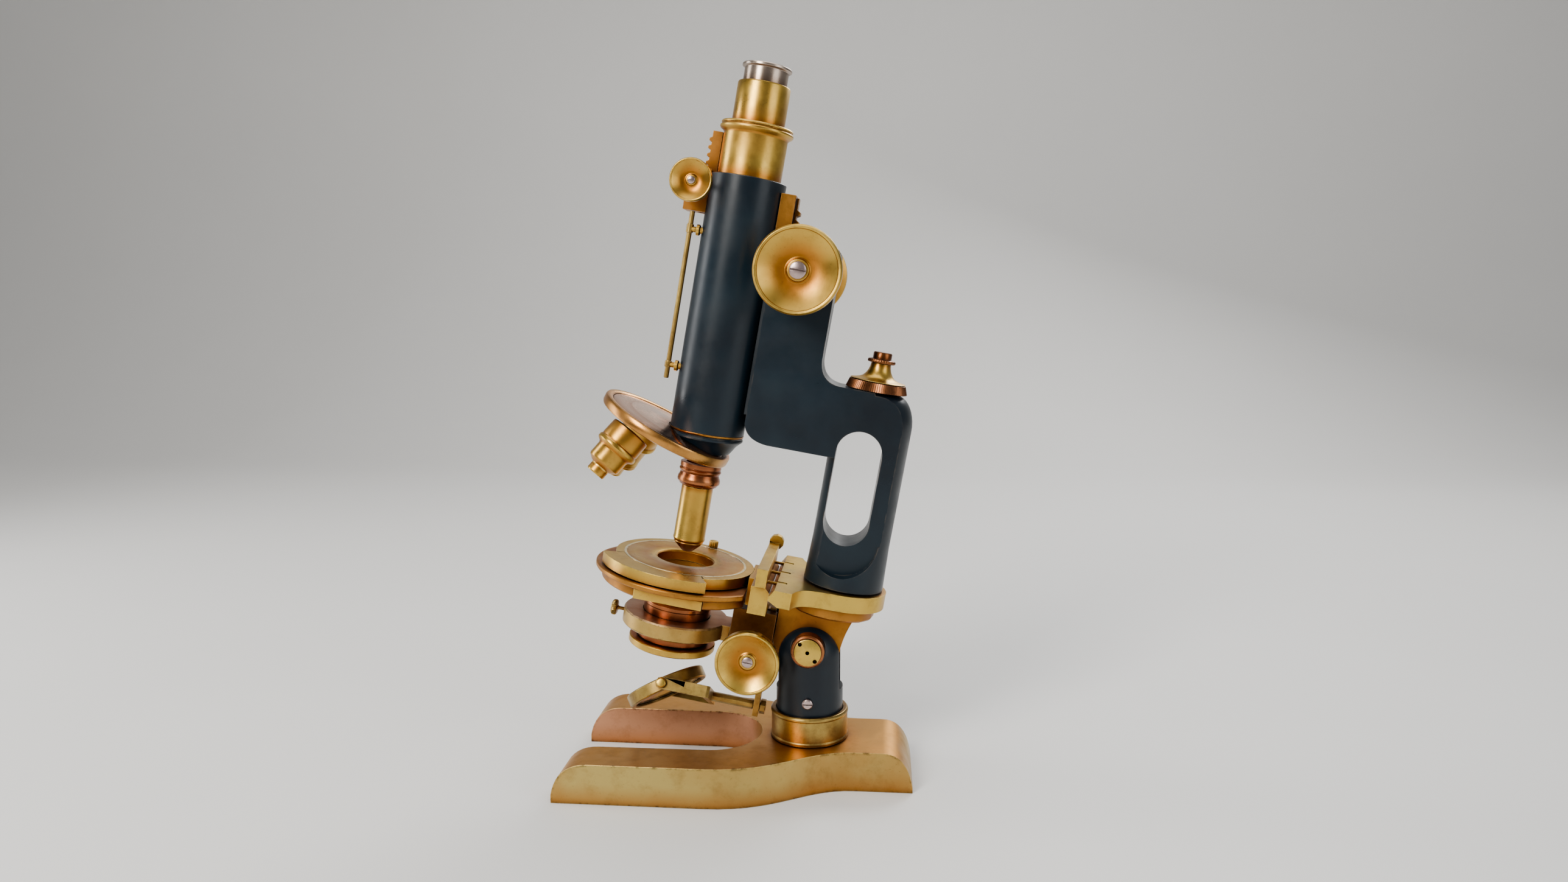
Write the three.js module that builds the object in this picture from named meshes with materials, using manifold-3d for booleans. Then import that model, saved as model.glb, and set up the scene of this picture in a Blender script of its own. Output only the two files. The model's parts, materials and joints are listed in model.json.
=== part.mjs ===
// Brass compound microscope on a horseshoe foot, in millimetres, +Z up.
// The origin is on the table, under the axis of the pillar; the stage and mirror face -X.
import * as THREE from "three";
import { mergeVertices } from "three/addons/utils/BufferGeometryUtils.js";
import Module from "manifold-3d";

const wasm = await Module();
wasm.setup();

// Driving dimensions
const GAP = 0.3;
const TILT = THREE.MathUtils.degToRad(10);
const PIVOT_Z = 74.5;
const BASE = { front: -132.2, heel: 56.6, top: 21.6, halfWidth: 52, innerHalf: 28.3, heelHalf: 24.4 };
const PILLAR = { radius: 18.3, shoulder: 68, slotHalf: 7.6, slotFloor: 50 };
const COLLAR = { radius: 21.4, top: 37.9 };
const OPTIC_U = -75.5;
const COLUMN = { u: 12, radius: 20.9, foot: 36.4, top: 142, flatHalf: 14 };
const TUBE = { outer: 20.1, inner: 18.4, bottom: 104, top: 239.5 };
const SLEEVE = { outer: 16.9, inner: 14.3, bottom: 150, top: 267.1 };
const DRAW = { outer: 13.9, inner: 12.0, bottom: 190, top: 288.1 };
const EYEPIECE = { radius: 11.6, bottom: 264, shoulder: 295.7, top: 297.5, flange: 13 };
const COARSE = { u: -39, w: 196.8, knobRadius: 22.3, knobInner: 28, knobOuter: 42 };
const DRAW_PINION = { u: -101.5, w: 232.5, knobRadius: 11, knobInner: 17.5, knobOuter: 25 };
const SUB_PINION = { u: -30, w: -7.9, knobRadius: 17, knobInner: 25, knobOuter: 35 };
const NOSE = { u: -98.3, w: 99.1, lean: THREE.MathUtils.degToRad(20), radius: 37.8, rim: 5.8, pitch: 24.2 };
const STAGE = { top: 32.8, discBottom: 27.1, disc: 38.2, lobe: 45.5, aperture: 15.5, flange: 48, under: 44 };
const RAIL = { front: -33.2, back: -27.4, half: 32, bottom: 33.2, top: 43 };
const BRACKET = { bottom: 26.7, top: 35.4, front: -24.7, shoulder: -13, half: 40, discU: 10.5, disc: 25.5 };
const TAIL = { front: -24.2, back: -20.9, half: 4.5, bottom: -47.2 };
const MIRROR = { u: -74, w: -42.2, radius: 22.5, height: 6.8, swivel: -25, tilt: -34.5, armHalf: 24.2 };

// Materials
function metal(color, roughness, metalness = 1) {
  return new THREE.MeshStandardMaterial({ color, roughness, metalness });
}

const BRASS = metal(0xb98f45, 0.38);
const COPPER = metal(0x9c5a33, 0.4);
const BLACK = metal(0x141c26, 0.3, 0.2);
const NICKEL = metal(0xb9b2aa, 0.3);
const STEEL = metal(0xa89a98, 0.35);
const GLASS = metal(0x9fb4bd, 0.08, 0);
const SILVERED = metal(0xdfe4e6, 0.05);

// Solid helpers
function welded(geometry) {
  const bare = geometry.clone();
  bare.deleteAttribute("normal");
  bare.deleteAttribute("uv");
  const merged = mergeVertices(bare, 1e-4);
  const index = merged.getIndex().array;
  const kept = [];
  for (let i = 0; i < index.length; i += 3) {
    const [a, b, c] = [index[i], index[i + 1], index[i + 2]];
    if (a !== b && b !== c && a !== c) kept.push(a, b, c);
  }
  merged.setIndex(signedVolume(merged.attributes.position, kept) < 0 ? kept.reverse() : kept);
  return merged;
}

function signedVolume(position, index) {
  const [a, b, c] = [new THREE.Vector3(), new THREE.Vector3(), new THREE.Vector3()];
  let six = 0;
  for (let i = 0; i < index.length; i += 3) {
    a.fromBufferAttribute(position, index[i]);
    b.fromBufferAttribute(position, index[i + 1]);
    c.fromBufferAttribute(position, index[i + 2]);
    six += a.dot(b.cross(c));
  }
  return six;
}

function toSolid(geometry) {
  const g = welded(geometry);
  const vertProperties = new Float32Array(g.attributes.position.array);
  const triVerts = new Uint32Array(g.index.array);
  return new wasm.Manifold(new wasm.Mesh({ numProp: 3, vertProperties, triVerts }));
}

function toGeometry(solid) {
  const { vertProperties, triVerts } = solid.getMesh();
  const g = new THREE.BufferGeometry();
  g.setAttribute("position", new THREE.BufferAttribute(vertProperties, 3));
  g.setIndex(new THREE.BufferAttribute(triVerts, 1));
  g.computeVertexNormals();
  return g;
}

function joined(first, { add = [], cut = [], keep = [] }) {
  let solid = toSolid(first);
  for (const g of add) solid = solid.add(toSolid(g));
  for (const g of cut) solid = solid.subtract(toSolid(g));
  for (const g of keep) solid = solid.intersect(toSolid(g));
  return toGeometry(solid);
}

// Shape helpers: turned work about +Z, bars, and plates cut from an outline.
// sides is the fineness of a finished piece; FACET_SHARE of it is enough for fit and motion.
const FACET_SHARE = 0.42;
function turned(profile, sides = 40) {
  const points = profile.map(([r, z]) => new THREE.Vector2(r, z));
  const facets = Math.max(8, 2 * Math.round((sides * FACET_SHARE) / 2));
  return welded(new THREE.LatheGeometry(points, facets).rotateX(Math.PI / 2));
}

const barrel = (r, z0, z1, sides = 36) => turned([[0, z0], [r, z0], [r, z1], [0, z1]], sides);

function pipe(outer, inner, z0, z1, sides = 40) {
  return turned([[inner, z0], [outer, z0], [outer, z1], [inner, z1], [inner, z0]], sides);
}

const alongX = (geometry) => geometry.rotateY(Math.PI / 2);
const alongY = (geometry) => geometry.rotateX(-Math.PI / 2);
const at = (geometry, x, y, z) => geometry.translate(x, y, z);

function box(x0, x1, y0, y1, z0, z1) {
  const g = new THREE.BoxGeometry(x1 - x0, y1 - y0, z1 - z0);
  return at(g, (x0 + x1) / 2, (y0 + y1) / 2, (z0 + z1) / 2);
}

function plate(shape, z0, z1, curveSegments = 12) {
  const g = new THREE.ExtrudeGeometry(shape, { depth: z1 - z0, bevelEnabled: false, curveSegments });
  return welded(at(g, 0, 0, z0));
}

function sidePlate(shape, half, curveSegments = 12) {
  const g = new THREE.ExtrudeGeometry(shape, { depth: 2 * half, bevelEnabled: false, curveSegments });
  return welded(at(g.rotateX(Math.PI / 2), 0, half, 0));
}

function outline(points) {
  return new THREE.Shape(points.map(([x, y]) => new THREE.Vector2(x, y)));
}

function place(group, name, geometry, material) {
  const mesh = new THREE.Mesh(geometry, material);
  mesh.name = name;
  group.add(mesh);
  return mesh;
}

const microscope = new THREE.Group();

// Horseshoe base: plan outline cut by the side profile with its rounded nose and heel
function horseshoeBase() {
  const crotch = -54;
  const inner = 27.5;
  const plan = new THREE.Shape();
  plan.moveTo(BASE.front - 1, -BASE.halfWidth);
  plan.lineTo(-52, -BASE.halfWidth);
  plan.bezierCurveTo(-12, -BASE.halfWidth, -2, -BASE.heelHalf, 26, -BASE.heelHalf);
  plan.lineTo(BASE.heel + 1, -BASE.heelHalf);
  plan.lineTo(BASE.heel + 1, BASE.heelHalf);
  plan.lineTo(26, BASE.heelHalf);
  plan.bezierCurveTo(-2, BASE.heelHalf, -12, BASE.halfWidth, -52, BASE.halfWidth);
  plan.lineTo(BASE.front - 1, BASE.halfWidth);
  plan.lineTo(BASE.front - 1, BASE.innerHalf);
  plan.lineTo(crotch, inner);
  plan.absarc(crotch, 0, inner, Math.PI / 2, -Math.PI / 2, true);
  plan.lineTo(BASE.front - 1, -BASE.innerHalf);
  const side = new THREE.Shape();
  side.moveTo(BASE.front, 0);
  side.lineTo(BASE.front, 4);
  side.quadraticCurveTo(BASE.front + 3, BASE.top, BASE.front + 20, BASE.top);
  side.lineTo(BASE.heel - 16, BASE.top);
  side.quadraticCurveTo(BASE.heel - 3, BASE.top, BASE.heel, 3);
  side.lineTo(BASE.heel, 0);
  const screwRoom = [[0, -1], [5.2, -1], [5.2, 6.5], [2.6, 6.5], [2.6, 30], [0, 30]];
  const rooms = [-9, 9].map((x) => at(turned(screwRoom, 20), x, 0, 0));
  return joined(plate(plan, -1, BASE.top + 1, 14), { keep: [sidePlate(side, 60, 10)], cut: rooms });
}
place(microscope, "horseshoe_base", horseshoeBase(), BRASS);

function pillar() {
  const floor = BASE.top + GAP;
  const profile = [[0, floor], [PILLAR.radius, floor]];
  const steps = 5;
  for (let i = 0; i < steps; i++) {
    const a = (Math.PI / 2) * (i / steps);
    profile.push([PILLAR.radius * Math.cos(a), PILLAR.shoulder + PILLAR.radius * Math.sin(a)]);
  }
  profile.push([0, PILLAR.shoulder + PILLAR.radius]);
  const slot = box(-25, 25, -PILLAR.slotHalf, PILLAR.slotHalf, PILLAR.slotFloor, 100);
  const bore = at(alongY(barrel(4.3, -30, 30, 20)), 0, 0, PIVOT_Z);
  const seats = [[-30, -12.2], [12.2, 30]].map(([a, b]) => at(alongY(barrel(9.3, a, b, 28)), 0, 0, PIVOT_Z));
  const sideHole = at(alongY(barrel(1.8, -30, -11, 12)), 0, 0, 45.6);
  const footHoles = [-9, 9].map((x) => barrel(2.6, 0, 31, 16).translate(x, 0, 0));
  return joined(turned(profile, 44), { cut: [slot, bore, ...seats, sideHole, ...footHoles] });
}
place(microscope, "pillar", pillar(), BLACK);

function pillarCollar() {
  const [a, b] = [BASE.top + GAP, COLLAR.top];
  const [ri, ro] = [PILLAR.radius + GAP, COLLAR.radius];
  return turned([[ri, a], [ro, a], [ro, b - 1.2], [ro - 1.2, b], [ri, b], [ri, a]], 44);
}
place(microscope, "pillar_collar", pillarCollar(), BRASS);

["front", "rear"].forEach((end, i) => {
  const screw = turned([[0, 1.2], [4.7, 1.2], [4.7, 6.2], [2.2, 6.2], [2.2, 29], [0, 29]], 20);
  place(microscope, `base_screw_${end}`, at(screw, i ? 9 : -9, 0, 0), STEEL);
});

function pillarSideScrew() {
  const head = [[0, -20.7], [1.4, -20.5], [2.7, -19.5], [2.9, -18.6], [1.5, -18.6], [1.5, -12], [0, -12]];
  return at(alongY(turned(head, 16)), 0, 0, 45.6);
}
place(microscope, "pillar_side_screw", pillarSideScrew(), STEEL);

// Inclination joint: steel axle through the cheeks, a spanner nut in each cheek
place(microscope, "pivot_axle", at(alongY(barrel(4, -12, 12, 20)), 0, 0, PIVOT_Z), STEEL);
["near", "far"].forEach((side, i) => {
  const s = i ? 1 : -1;
  const half = [[0, 12.5], [9, 12.5], [9, 19.3], [8, 19.9], [7.4, 19.9], [7.4, 21.2], [0, 21.2]];
  const profile = half.map(([r, h]) => [r, s * h]);
  const [low, high] = s > 0 ? [17, 25] : [-25, -17];
  const holes = [[-4, 4.6], [4, -4.6]].map(([x, z]) => at(alongY(barrel(1.1, low, high, 10)), x, 0, z));
  const nut = joined(alongY(turned(profile, 28)), { cut: holes });
  place(microscope, `pivot_nut_${side}`, at(nut, 0, 0, PIVOT_Z), BRASS);
});

// Everything that leans with the limb: local x is along the stage, local z along the tube
const limb = new THREE.Group();
limb.position.set(0, 0, PIVOT_Z);
limb.rotation.y = TILT;
microscope.add(limb);

function hingeLug() {
  const lug = new THREE.Shape();
  lug.moveTo(-19.5, 24);
  lug.lineTo(-19.5, -2);
  lug.quadraticCurveTo(-17, -17, 0, -17.4);
  lug.quadraticCurveTo(15, -16, 17, 0);
  lug.quadraticCurveTo(17.5, 10, 22, 20.2);
  lug.lineTo(22, 24);
  const disc = at(turned([[0, 20.2], [22.4, 20.2], [23.5, 21.3], [23.5, 26.4], [0, 26.4]], 40), 8, 0, 0);
  return joined(sidePlate(lug, 7.2, 10), { add: [disc], cut: [alongY(barrel(4.3, -10, 10, 44))] });
}
place(limb, "hinge_lug", hingeLug(), COPPER);

const RAIL_SCREWS = [-22, 0, 22];
const RAIL_SCREW_W = 34.4;

function stageBracket() {
  const { front, shoulder, half, discU, disc, bottom, top } = BRACKET;
  const plan = new THREE.Shape();
  plan.moveTo(front, -half);
  plan.lineTo(shoulder, -half);
  plan.bezierCurveTo(-10, -27, -4, -26, discU, -disc);
  plan.absarc(discU, 0, disc, -Math.PI / 2, Math.PI / 2, false);
  plan.bezierCurveTo(-4, 26, -10, 27, shoulder, half);
  plan.lineTo(front, half);
  const nosed = [[front, 29.6], [-19.4, bottom], [60, bottom], [60, top], [-22.2, top], [front, 31.4]];
  const side = outline(nosed);
  const slots = RAIL_SCREWS.map((y) => box(front - 1, -17, y - 1.4, y + 1.4, 32.9, top + 1));
  return joined(plate(plan, bottom - 1, top + 1, 16), { keep: [sidePlate(side, 60)], cut: slots });
}
place(limb, "stage_bracket", stageBracket(), BRASS);

// Post of the fine adjustment, which the column slides on
place(limb, "fine_guide_post", at(barrel(9, BRACKET.top + GAP, 54, 28), COLUMN.u, 0, 0), STEEL);

// Rail across the back of the stage, with its three long screws and a knurled end knob
function stageRail() {
  const bar = box(RAIL.front, RAIL.back, -RAIL.half, RAIL.half, RAIL.bottom, RAIL.top);
  const shank = alongX(barrel(0.9, RAIL.back - 1, -17.6, 10));
  const screws = RAIL_SCREWS.map((y) => at(shank.clone(), 0, y, RAIL_SCREW_W));
  const knob = at(alongY(barrel(4.3, RAIL.half - 0.5, RAIL.half + 4, 24)), -29.4, 0, 43.6);
  return joined(bar, { add: [...screws, knob] });
}
place(limb, "stage_rail", stageRail(), BRASS);

// Block under the rail, with the neck that carries the stage
function stagePost() {
  const side = outline([[-35, 18], [-25.2, 18], [-25.2, 30.6], [-27.6, 32.9], [-35, 32.9]]);
  const neck = box(-37.9, -34, -15, 15, STAGE.discBottom, STAGE.top);
  const foot = box(-37.9, -34, -15, 15, 17.8, STAGE.discBottom + 1);
  const room = barrel(STAGE.disc + GAP, 20, 40, 72).translate(OPTIC_U, 0, 0);
  const clear = barrel(STAGE.flange - 8, 10, 26.9, 72).translate(OPTIC_U, 0, 0);
  const tailSlot = box(TAIL.front - 3.2, -20, -TAIL.half - GAP, TAIL.half + GAP, 10, 27);
  return joined(sidePlate(side, 30), { add: [neck, foot], cut: [room, clear, tailSlot] });
}
place(limb, "stage_post", stagePost(), BRASS);

function stageFlange() {
  const [a, b] = [23.2, STAGE.discBottom - GAP];
  const r = STAGE.flange;
  const ring = turned([[17, a], [r - 1, a], [r, a + 1], [r, b - 0.8], [r - 0.8, b], [17, b], [17, a]], 64);
  return joined(at(ring, OPTIC_U, 0, 0), { cut: [box(-38.2, -20, -31, 31, 10, 40)] });
}
place(limb, "stage_flange", stageFlange(), COPPER);

function stageUnderplate() {
  const [a, b] = [17.8, 23.2 - GAP];
  const ring = at(barrel(STAGE.under, a, b, 56), OPTIC_U, 0, 0);
  const cross = box(-93.5, -57.5, -42.5, 42.5, a, b);
  const hole = at(barrel(17, a - 1, b + 1, 40), OPTIC_U, 0, 0);
  return joined(ring, { add: [cross], cut: [hole, box(-38.2, -20, -31, 31, 10, 40)] });
}
place(limb, "stage_underplate", stageUnderplate(), BRASS);

// Rotating stage disc with its wider graduated sector
function stageDisc() {
  const sector = new THREE.Shape();
  const [from, to] = [THREE.MathUtils.degToRad(-158), THREE.MathUtils.degToRad(-66)];
  sector.moveTo(0, 0);
  sector.absarc(0, 0, STAGE.lobe, from, to, false);
  const lobe = plate(sector, STAGE.discBottom, STAGE.top, 24);
  const disc = barrel(STAGE.disc, STAGE.discBottom, STAGE.top, 64);
  const r = STAGE.aperture;
  const hole = [[0, 20], [r, 20], [r, STAGE.top - 0.8], [r + 0.8, STAGE.top], [r + 0.8, 40], [0, 40]];
  const aperture = turned(hole, 40);
  return at(joined(disc, { add: [lobe], cut: [aperture] }), OPTIC_U, 0, 0);
}
place(limb, "stage_disc", stageDisc(), BRASS);

function stageClampScrew() {
  const [a, b] = [STAGE.top + GAP, STAGE.top + 4.2];
  return at(turned([[0, a], [2.7, a], [2.7, b - 1], [1.8, b], [0, b]], 18), OPTIC_U + 10, 34.5, 0);
}
place(limb, "stage_clamp_screw", stageClampScrew(), BRASS);

// Flat tail bar behind the substage; it carries the rack and, low down, the mirror spindle
function tailBar() {
  const bar = box(TAIL.front, TAIL.back, -TAIL.half, TAIL.half, TAIL.bottom, 26.4);
  const hole = at(alongX(barrel(2.5, -30, -10, 16)), 0, 0, MIRROR.w);
  return joined(bar, { cut: [hole, box(-30, -10, -7.6, 7.6, 16, 30)] });
}

// Teeth along +Z on the face of a bar at x0; the tips point to -x when side is -1
function rack(x0, x1, half, z0, z1, pitch, side) {
  const root = side < 0 ? x0 + pitch * 0.35 : x1 - pitch * 0.35;
  const tip = side < 0 ? x0 : x1;
  const back = side < 0 ? x1 : x0;
  const points = [[back, z0], [root, z0]];
  for (let z = z0 + pitch / 2; z + pitch < z1; z += pitch) {
    points.push([root, z], [tip, z + pitch * 0.2], [tip, z + pitch * 0.5], [root, z + pitch * 0.7]);
  }
  points.push([root, z1], [back, z1]);
  return sidePlate(outline(points), half);
}
place(limb, "tail_bar", tailBar(), BRASS);
place(limb, "substage_rack", rack(-26.6, TAIL.front - GAP, 3, -22, 14.5, 3, -1), STEEL);

// Toothed pinion on its shaft, about +Y
function pinion(tip, half, shaft, reach, teeth) {
  const points = [];
  for (let i = 0; i < teeth; i++) {
    for (const [step, r] of [[0, tip - 0.9], [0.35, tip], [0.65, tip]]) {
      const a = ((i + step) / teeth) * 2 * Math.PI;
      points.push([r * Math.cos(a), r * Math.sin(a)]);
    }
  }
  return joined(sidePlate(outline(points), half), { add: [alongY(barrel(shaft, -reach, reach, 14))] });
}

// Dished milled knob about +Y: bright bevelled rim outside, hollow face, boss round the shaft screw
function knob(radius, inner, outer, bore, side) {
  const depth = outer - inner;
  const rim = radius * 0.1;
  const boss = radius * 0.24;
  const y = (d) => side * (inner + d);
  const profile = [
    [bore, y(0)], [boss * 1.5, y(0)], [radius, y(depth * 0.45)], [radius, y(depth * 0.92)],
    [radius - rim * 0.5, y(depth)], [radius - rim, y(depth * 0.93)], [boss, y(depth * 0.52)],
    [bore, y(depth * 0.62)], [bore, y(0)],
  ];
  return alongY(turned(profile.map(([r, h]) => [r, h]), 40));
}

function knobPair(group, name, place3, spec, shaft) {
  ["near", "far"].forEach((side, i) => {
    const g = knob(spec.knobRadius, spec.knobInner, spec.knobOuter, shaft + GAP, i ? 1 : -1);
    place(group, `${name}_${side}`, at(g, ...place3), BRASS);
  });
}

// Substage: slide on the tail bar, holder ring, condenser, iris and centring screw
function substageSlide() {
  const block = box(-43.6, -20, -11, 11, -18, 14);
  const channel = box(-27.1, -10, -TAIL.half - GAP, TAIL.half + GAP, -30, 30);
  const bore = at(alongY(barrel(3.6, -20, 20, 20)), SUB_PINION.u, 0, SUB_PINION.w);
  return joined(block, { cut: [channel, bore] });
}
place(limb, "substage_slide", substageSlide(), BRASS);

const HOLDER = { outer: 29, inner: 18.9, bottom: -6.5, top: 2 };
function substageRing() {
  const ring = at(pipe(HOLDER.outer, HOLDER.inner, HOLDER.bottom, HOLDER.top, 48), OPTIC_U, 0, 0);
  const arm = box(OPTIC_U + 24, -43.6 - GAP, -9, 9, HOLDER.bottom, HOLDER.top);
  const screwHole = at(alongX(barrel(1.3, -115, OPTIC_U - 15, 12)), 0, 0, -2.5);
  const room = at(barrel(HOLDER.inner, -20, 20, 48), OPTIC_U, 0, 0);
  return joined(ring, { add: [arm], cut: [screwHole, room] });
}
place(limb, "substage_ring", substageRing(), BRASS);

function condenser() {
  const profile = [
    [15.8, -12.4], [20, -12.4], [20, -6.9], [18.5, -6.9], [18.5, 9.4], [16.8, 11], [13, 12.5],
    [10.4, 15], [9, 15], [9, 9], [15.8, 6], [15.8, -12.4],
  ];
  return at(turned(profile, 40), OPTIC_U, 0, 0);
}
place(limb, "condenser", condenser(), COPPER);

function condenserLens() {
  return at(turned([[0, 6.4], [8.6, 9.4], [8.6, 14.6], [5, 15.6], [0, 16]], 28), OPTIC_U, 0, 0);
}
place(limb, "condenser_lens", condenserLens(), GLASS);

function irisRing() {
  const profile = [
    [6, -14.6], [22, -14.6], [22, -17], [24, -17], [24, -12.8], [20.4, -12.8], [6, -13.6], [6, -14.6],
  ];
  return at(turned(profile, 48), OPTIC_U, 0, 0);
}
place(limb, "iris_ring", irisRing(), BRASS);

function thumbscrew() {
  const profile = [
    [0, -111.8], [3.6, -111.8], [4.3, -111], [4.3, -109.4],
    [3.6, -108.6], [1, -108.6], [1, -94.4], [0, -94.4],
  ];
  return at(alongX(turned(profile, 20)), 0, 0, -2.5);
}
place(limb, "condenser_thumbscrew", thumbscrew(), COPPER);

const SUB_PLACE = [SUB_PINION.u, 0, SUB_PINION.w];
place(limb, "substage_pinion", at(pinion(3.1, 5, 1.8, 31, 10), ...SUB_PLACE), STEEL);
knobPair(limb, "substage_knob", SUB_PLACE, SUB_PINION, 1.8);

// Arm: round column with milled flats and a hand slot, bridge and upright with the slide channel
function arm() {
  const { u, radius: r, foot, top, flatHalf } = COLUMN;
  const profile = [[0, foot], [r + 0.8, foot], [r + 0.4, foot + 12], [r, 60], [r, 124]];
  const crown = 13;
  for (let i = 1; i <= 6; i++) {
    const a = (Math.PI / 2) * (i / 6);
    profile.push([r - crown * 0.85 * (1 - Math.cos(a)), top - crown * 1.38 + crown * 1.38 * Math.sin(a)]);
  }
  profile.push([0, top]);
  const column = at(turned(profile, 48), u, 0, 0);
  const flat = new THREE.Shape();
  flat.moveTo(-30, 200);
  flat.lineTo(-30, 62);
  flat.lineTo(-11.5, 62);
  flat.absarc(7.5, 62, 19, Math.PI, 2 * Math.PI, false);
  flat.lineTo(60, 62);
  flat.lineTo(60, 200);
  const cheek = plate(flat, 0, 20, 16).rotateX(Math.PI / 2);
  const flats = [at(cheek.clone(), 0, -flatHalf, 0), at(cheek.clone(), 0, flatHalf + 20, 0)];
  const web = new THREE.Shape();
  web.moveTo(-54.5, 210);
  web.lineTo(-54.5, 114);
  web.quadraticCurveTo(-53, 105.5, -41, 104.5);
  web.lineTo(4, 104.5);
  web.lineTo(10, 112);
  web.lineTo(14, 130);
  web.lineTo(10, top);
  web.lineTo(-9, top);
  web.quadraticCurveTo(-19.6, 143, -20.2, 154);
  web.lineTo(-20.2, 208);
  web.quadraticCurveTo(-21, 212, -25, 212);
  web.lineTo(-52, 212);
  const hand = new THREE.Shape();
  const [handU, handR] = [7.55, 12.2];
  hand.moveTo(handU - handR, 71.4);
  hand.absarc(handU, 71.4, handR, Math.PI, 2 * Math.PI, false);
  hand.absarc(handU, 108.6, handR, 0, Math.PI, false);
  const cuts = [
    ...flats,
    sidePlate(hand, 40, 12),
    box(-60, -44.4, -8.4, 8.4, 90, 230),
    at(alongY(barrel(6.4, -20, 20, 28)), COARSE.u, 0, COARSE.w),
    at(barrel(9.3, 30, 55, 28), u, 0, 0),
    at(barrel(3.2, 126, 150, 20), 10.4, 0, 0),
  ];
  const body = toSolid(column).subtract(toSolid(flats[0])).subtract(toSolid(flats[1]));
  return joined(toGeometry(body.add(toSolid(sidePlate(web, flatHalf, 10)))), { cut: cuts.slice(2) });
}
place(limb, "arm", arm(), BLACK);

// Fine adjustment: knurled skirt with its spindle, and the capped spool above it
const FINE_U = 10.4;
const SKIRT = [[0, 128], [2.8, 128], [2.8, 142.4], [16.5, 142.4], [15.1, 147.3], [0, 147.3]];
place(limb, "fine_knob_skirt", at(turned(SKIRT, 36), FINE_U, 0, 0), COPPER);
function fineSpool() {
  const profile = [
    [0, 147.6], [14.9, 147.6], [10.4, 148.8], [7.2, 151.2], [5.4, 154.4], [4.9, 156.8], [7.4, 157.6],
    [7.4, 159.2], [4.9, 159.8], [4.9, 163], [0, 163],
  ];
  return at(turned(profile, 32), FINE_U, 0, 0);
}
place(limb, "fine_knob_spool", fineSpool(), BRASS);

// Body tube and what is fixed to it
const RACK_SLOT_HALF = 4;
function bodyTube() {
  const tube = at(pipe(TUBE.outer, TUBE.inner, TUBE.bottom, TUBE.top, 48), OPTIC_U, 0, 0);
  const slot = box(-110, OPTIC_U - 12, -RACK_SLOT_HALF, RACK_SLOT_HALF, 186, 250);
  return joined(tube, { cut: [slot] });
}
place(limb, "body_tube", bodyTube(), BLACK);

function coarseSlide() {
  const bar = box(-56.5, -48.6, -8.1, 8.1, 118, 235);
  const room = at(barrel(TUBE.outer + GAP, 100, 250, 48), OPTIC_U, 0, 0);
  return joined(bar, { cut: [room] });
}
place(limb, "coarse_slide", coarseSlide(), BRASS);
place(limb, "coarse_rack", rack(-48.3, -45.4, 4, 122, 234, 5, 1), BRASS);

function drawPinionBox() {
  const cheeks = box(-106.5, -94, -7.4, 7.4, 218.5, 241);
  const tube = at(barrel(TUBE.outer + GAP, 200, 260, 48), OPTIC_U, 0, 0);
  const slot = box(-99.4, -90, -RACK_SLOT_HALF, RACK_SLOT_HALF, 210, 250);
  const bore = at(alongY(barrel(2.9, -20, 20, 20)), DRAW_PINION.u, 0, DRAW_PINION.w);
  return joined(cheeks, { cut: [tube, slot, bore] });
}
place(limb, "draw_pinion_box", drawPinionBox(), BRASS);

function guideRod() {
  const [u, y] = [-101, -7];
  const rod = at(barrel(1.35, 129.6, 218.2, 14), u, y, 0);
  const collars = [[207, 211.5], [135.5, 138.8]].map(([a, b]) => at(barrel(1.9, a, b, 14), u, y, 0));
  const brackets = [209, 137].map((w) => at(alongX(barrel(1.6, u, -90, 12)), 0, y, w));
  const heads = [209, 137].map((w) => at(alongX(barrel(2.9, -97.4, -90, 16)), 0, y, w));
  const tube = at(barrel(TUBE.outer + GAP, 120, 230, 48), OPTIC_U, 0, 0);
  return joined(rod, { add: [...collars, ...brackets, ...heads], cut: [tube] });
}
place(limb, "guide_rod", guideRod(), BRASS);

// Nosepiece: dark neck under the tube, fixed domed plate, rotating cup with three objectives
const nose = new THREE.Group();
nose.position.set(NOSE.u, 0, NOSE.w);
nose.rotation.y = NOSE.lean;
limb.add(nose);

const inNose = (geometry) => geometry.translate(-NOSE.u, 0, -NOSE.w).rotateY(-NOSE.lean);

function nosepiecePlate() {
  const domed = turned([[0, 2.6], [33.4, 2.6], [33.4, 5], [24, 5.8], [10, 6.6], [0, 6.8]], 48);
  const neckProfile = [
    [8, 94], [14, 94], [19.6, 101], [20.1, 102.6], [20.1, 103.7], [15, 103.7], [15, 99], [8, 97.5], [8, 94],
  ];
  const neck = inNose(at(turned(neckProfile, 40), OPTIC_U, 0, 0));
  const trim = turned([[0, 2.6], [60, 2.6], [60, 60], [0, 60]], 24);
  const rimTop = NOSE.rim + 0.3;
  const rimRoom = turned([[33.4, -20], [60, -20], [60, rimTop], [33.4, rimTop], [33.4, -20]], 48);
  const lightPath = inNose(at(barrel(8, 60, 120, 28), OPTIC_U, 0, 0));
  const tubeRoom = inNose(at(barrel(TUBE.outer + 1, 103.7, 130, 40), OPTIC_U, 0, 0));
  const pinHole = barrel(2.8, -10, 20, 20);
  return joined(domed, { add: [neck], keep: [trim], cut: [rimRoom, lightPath, tubeRoom, pinHole] });
}
place(nose, "nosepiece_plate", nosepiecePlate(), COPPER);

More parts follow.
